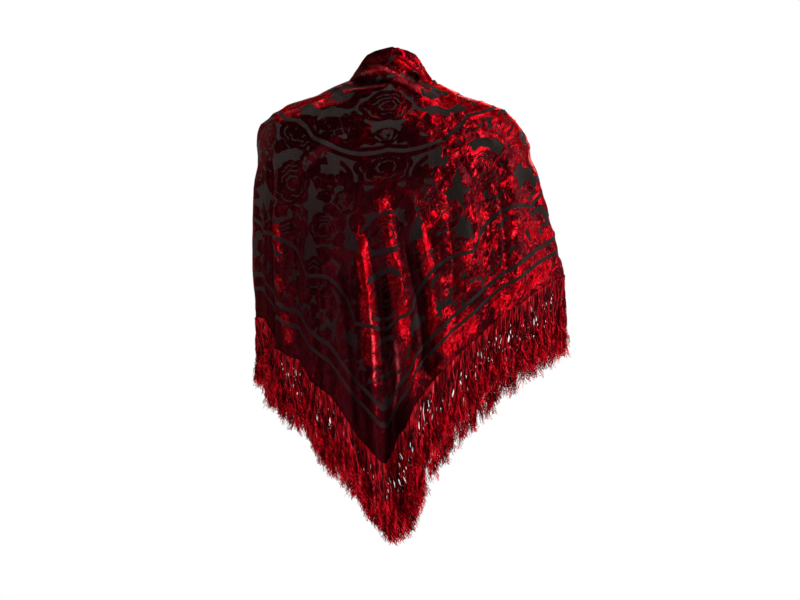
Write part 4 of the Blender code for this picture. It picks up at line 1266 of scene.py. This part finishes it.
def frayed_threads(chance, path, steps, fray_from, length):
    """Loose curly threads from where one strand's twist opens."""
    run = np.linspace(0.0, 1.0, FRIZZ_STEPS + 1)
    for thread in range(FRIZZ_THREADS):
        start = fray_from + chance.uniform(*FRIZZ_START)
        end = min(1.0, start + FRIZZ_LENGTH / length * chance.uniform(*FRIZZ_LENGTH_RANGE))
        where = start + (end - start) * run
        base = np.stack([np.interp(where, steps, path[:, axis]) for axis in range(3)], axis=1)
        way = chance.uniform(0.0, 2.0 * np.pi)
        spread = FRIZZ_SPREAD * chance.uniform(*FRIZZ_SPREAD_RANGE) * run ** FRIZZ_SPREAD_POWER
        curl = FRIZZ_CURL * chance.uniform(*FRIZZ_CURL_RANGE)
        curl = curl * np.minimum(1.0, run * FRIZZ_CURL_START)
        turns = 2.0 * np.pi * run * chance.uniform(*FRIZZ_TURNS)
        turns += chance.uniform(0.0, FRIZZ_PHASE)
        base[:, 0] += np.cos(way) * spread + curl * np.cos(turns)
        base[:, 1] += FRIZZ_DEPTHWISE * np.sin(way) * spread + curl * np.sin(turns)
        base[:, 2] += FRIZZ_CURL * np.sin(turns + way) * run
        yield base, np.linspace(*FRIZZ_TAPER, len(run))


def make_fringe(drape, twisted, frayed):
    """Runs of twisted strands that fray out into loose threads below."""
    chance = np.random.default_rng(FRINGE_SEED)
    roots = strand_roots(drape)
    points, normals = drape.surface(roots, np.ones(len(roots)))
    steps = np.linspace(0.0, 1.0, STRAND_STEPS + 1)
    made = []
    for name, first, last in FRINGE_RUNS:
        strands, frizz = [], []
        for number in np.nonzero((roots >= first) & (roots < last + 1e-9))[0]:
            path, length, phase = strand_path(chance, drape, points[number], normals[number],
                                              roots[number], number, steps)
            fray_from = chance.uniform(*FRAY_FROM)
            fray_end = fray_from + FRAY_REACH
            knots = (0.0, *ROOT_TAPER, fray_from, fray_end)
            thickness = np.interp(steps, knots, STRAND_TAPER)
            thickness *= 1.0 + TWIST_SWELL * np.sin(2 * np.pi * TWIST_TURNS * steps + phase[2])
            body = steps <= fray_end
            strands.append((path[body], thickness[body]))
            frizz += frayed_threads(chance, path, steps, fray_from, length)
        made.append(thread_curve(name + "_strands", strands, STRAND_RADIUS, twisted))
        made.append(thread_curve(name + "_frayed_ends", frizz, FRIZZ_RADIUS, frayed, True))
        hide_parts(name)
    return made


def add_holder(name, data, place):
    """An object that holds a light or the camera, at its place."""
    holder = bpy.data.objects.new(name, data)
    holder.location = place
    bpy.context.scene.collection.objects.link(holder)
    return holder


def make_floor():
    """A plain pale floor far below."""
    shape = bmesh.new()
    bmesh.ops.create_circle(shape, cap_ends=True, segments=96, radius=FLOOR_SIZE)
    mesh = bpy.data.meshes.new("floor")
    shape.to_mesh(mesh)
    shape.free()
    pale = Nodes(bpy.data.materials.new("floor"))
    pale.feed(pale.tree.nodes["Principled BSDF"], {
        "Base Color": FLOOR_COLOUR, "Roughness": 0.8, "Emission Color": WHITE,
        "Emission Strength": FLOOR_GLOW})
    mesh.materials.append(pale.owner)
    add_holder("floor", mesh, (0.0, 0.0, FLOOR_HEIGHT))


def make_surround():
    """A white surround that lights the cloth only a little."""
    world = bpy.data.worlds.new("studio")
    bpy.context.scene.world = world
    studio = Nodes(world)
    soft = studio.tree.nodes["Background"]
    studio.feed(soft, {"Color": WHITE, "Strength": SURROUND_LIGHT})
    bright = studio.node("Background", {"Color": WHITE, "Strength": 1.0})
    seen = studio.node("LightPath", {}, "Is Camera Ray")
    mixed = studio.node("MixShader", {0: seen, 1: soft.outputs[0], 2: bright})
    studio.feed(studio.tree.nodes["World Output"], {"Surface": mixed})


def make_lights():
    """Soft round lights, each turned to its target."""
    for name, place, target, size, power in LIGHTS:
        light = bpy.data.lights.new(name, "AREA")
        light.shape = "DISK"
        light.size = size
        light.energy = power
        holder = add_holder(name, light, place)
        aim = Vector(target) - Vector(place)
        holder.rotation_euler = aim.to_track_quat("-Z", "Y").to_euler()
        holder.visible_camera = False


def make_camera():
    """A long lens, level, straight behind the cloth."""
    camera = bpy.data.cameras.new("camera")
    camera.sensor_width = SENSOR_WIDTH
    camera.lens = SENSOR_WIDTH * CAMERA_DISTANCE / PICTURE_WIDTH
    place = (PICTURE_MIDDLE[0], SHARP_DEPTH - CAMERA_DISTANCE, PICTURE_MIDDLE[1])
    holder = add_holder("camera", camera, place)
    holder.rotation_euler = (np.pi / 2.0, 0.0, 0.0)
    bpy.context.scene.camera = holder
    bpy.context.scene.view_settings.view_transform = "Standard"


def make_shawl():
    """The cloth's two faces, its rolled edges and its fringe, as one draped sheet."""
    drape = Drape()
    velvet = velvet_material()
    face = make_cloth(drape, "velvet_face", PILE_RUNS, PILE_ROWS, 0.0, velvet)
    reverse = make_cloth(drape, "velvet_reverse", REVERSE_RUNS, REVERSE_ROWS, CLOTH_THICKNESS, velvet)
    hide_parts("neck_roll", "back_fall", "left_side_fall", "right_side_fall",
                "left_front_fall", "right_front_fall")
    bend = np.linspace(0.0, np.pi, ROLL_STEPS)
    roll_profile = [(ROLL_RADIUS * np.sin(a), ROLL_RADIUS * (1.0 - np.cos(a))) for a in bend]
    path = edge_path(*EDGE_STEPS)
    beyond = np.where(path[:, 1:2] == 0.0, path + (0.0, EDGE_AIM), path * (FRONT_EDGE_AIM, 1.0))
    fold = make_roll(drape, "folded_edge", path, beyond, [*roll_profile, *ROLL_TUCK], velvet)
    hem_path = np.stack((np.linspace(-1.0, 1.0, HEM_STEPS), np.ones(HEM_STEPS)), axis=1)
    hem = make_roll(drape, "hem_edge", hem_path, hem_path - (0.0, EDGE_AIM), HEM_PROFILE, velvet)
    twisted = fringe_material("silk_fringe", *STRAND_COLOURS)
    frayed = fringe_material("silk_frayed", *FRAYED_COLOURS)
    fringe = make_fringe(drape, twisted, frayed)


make_floor()
make_surround()
make_lights()
make_camera()
make_shawl()
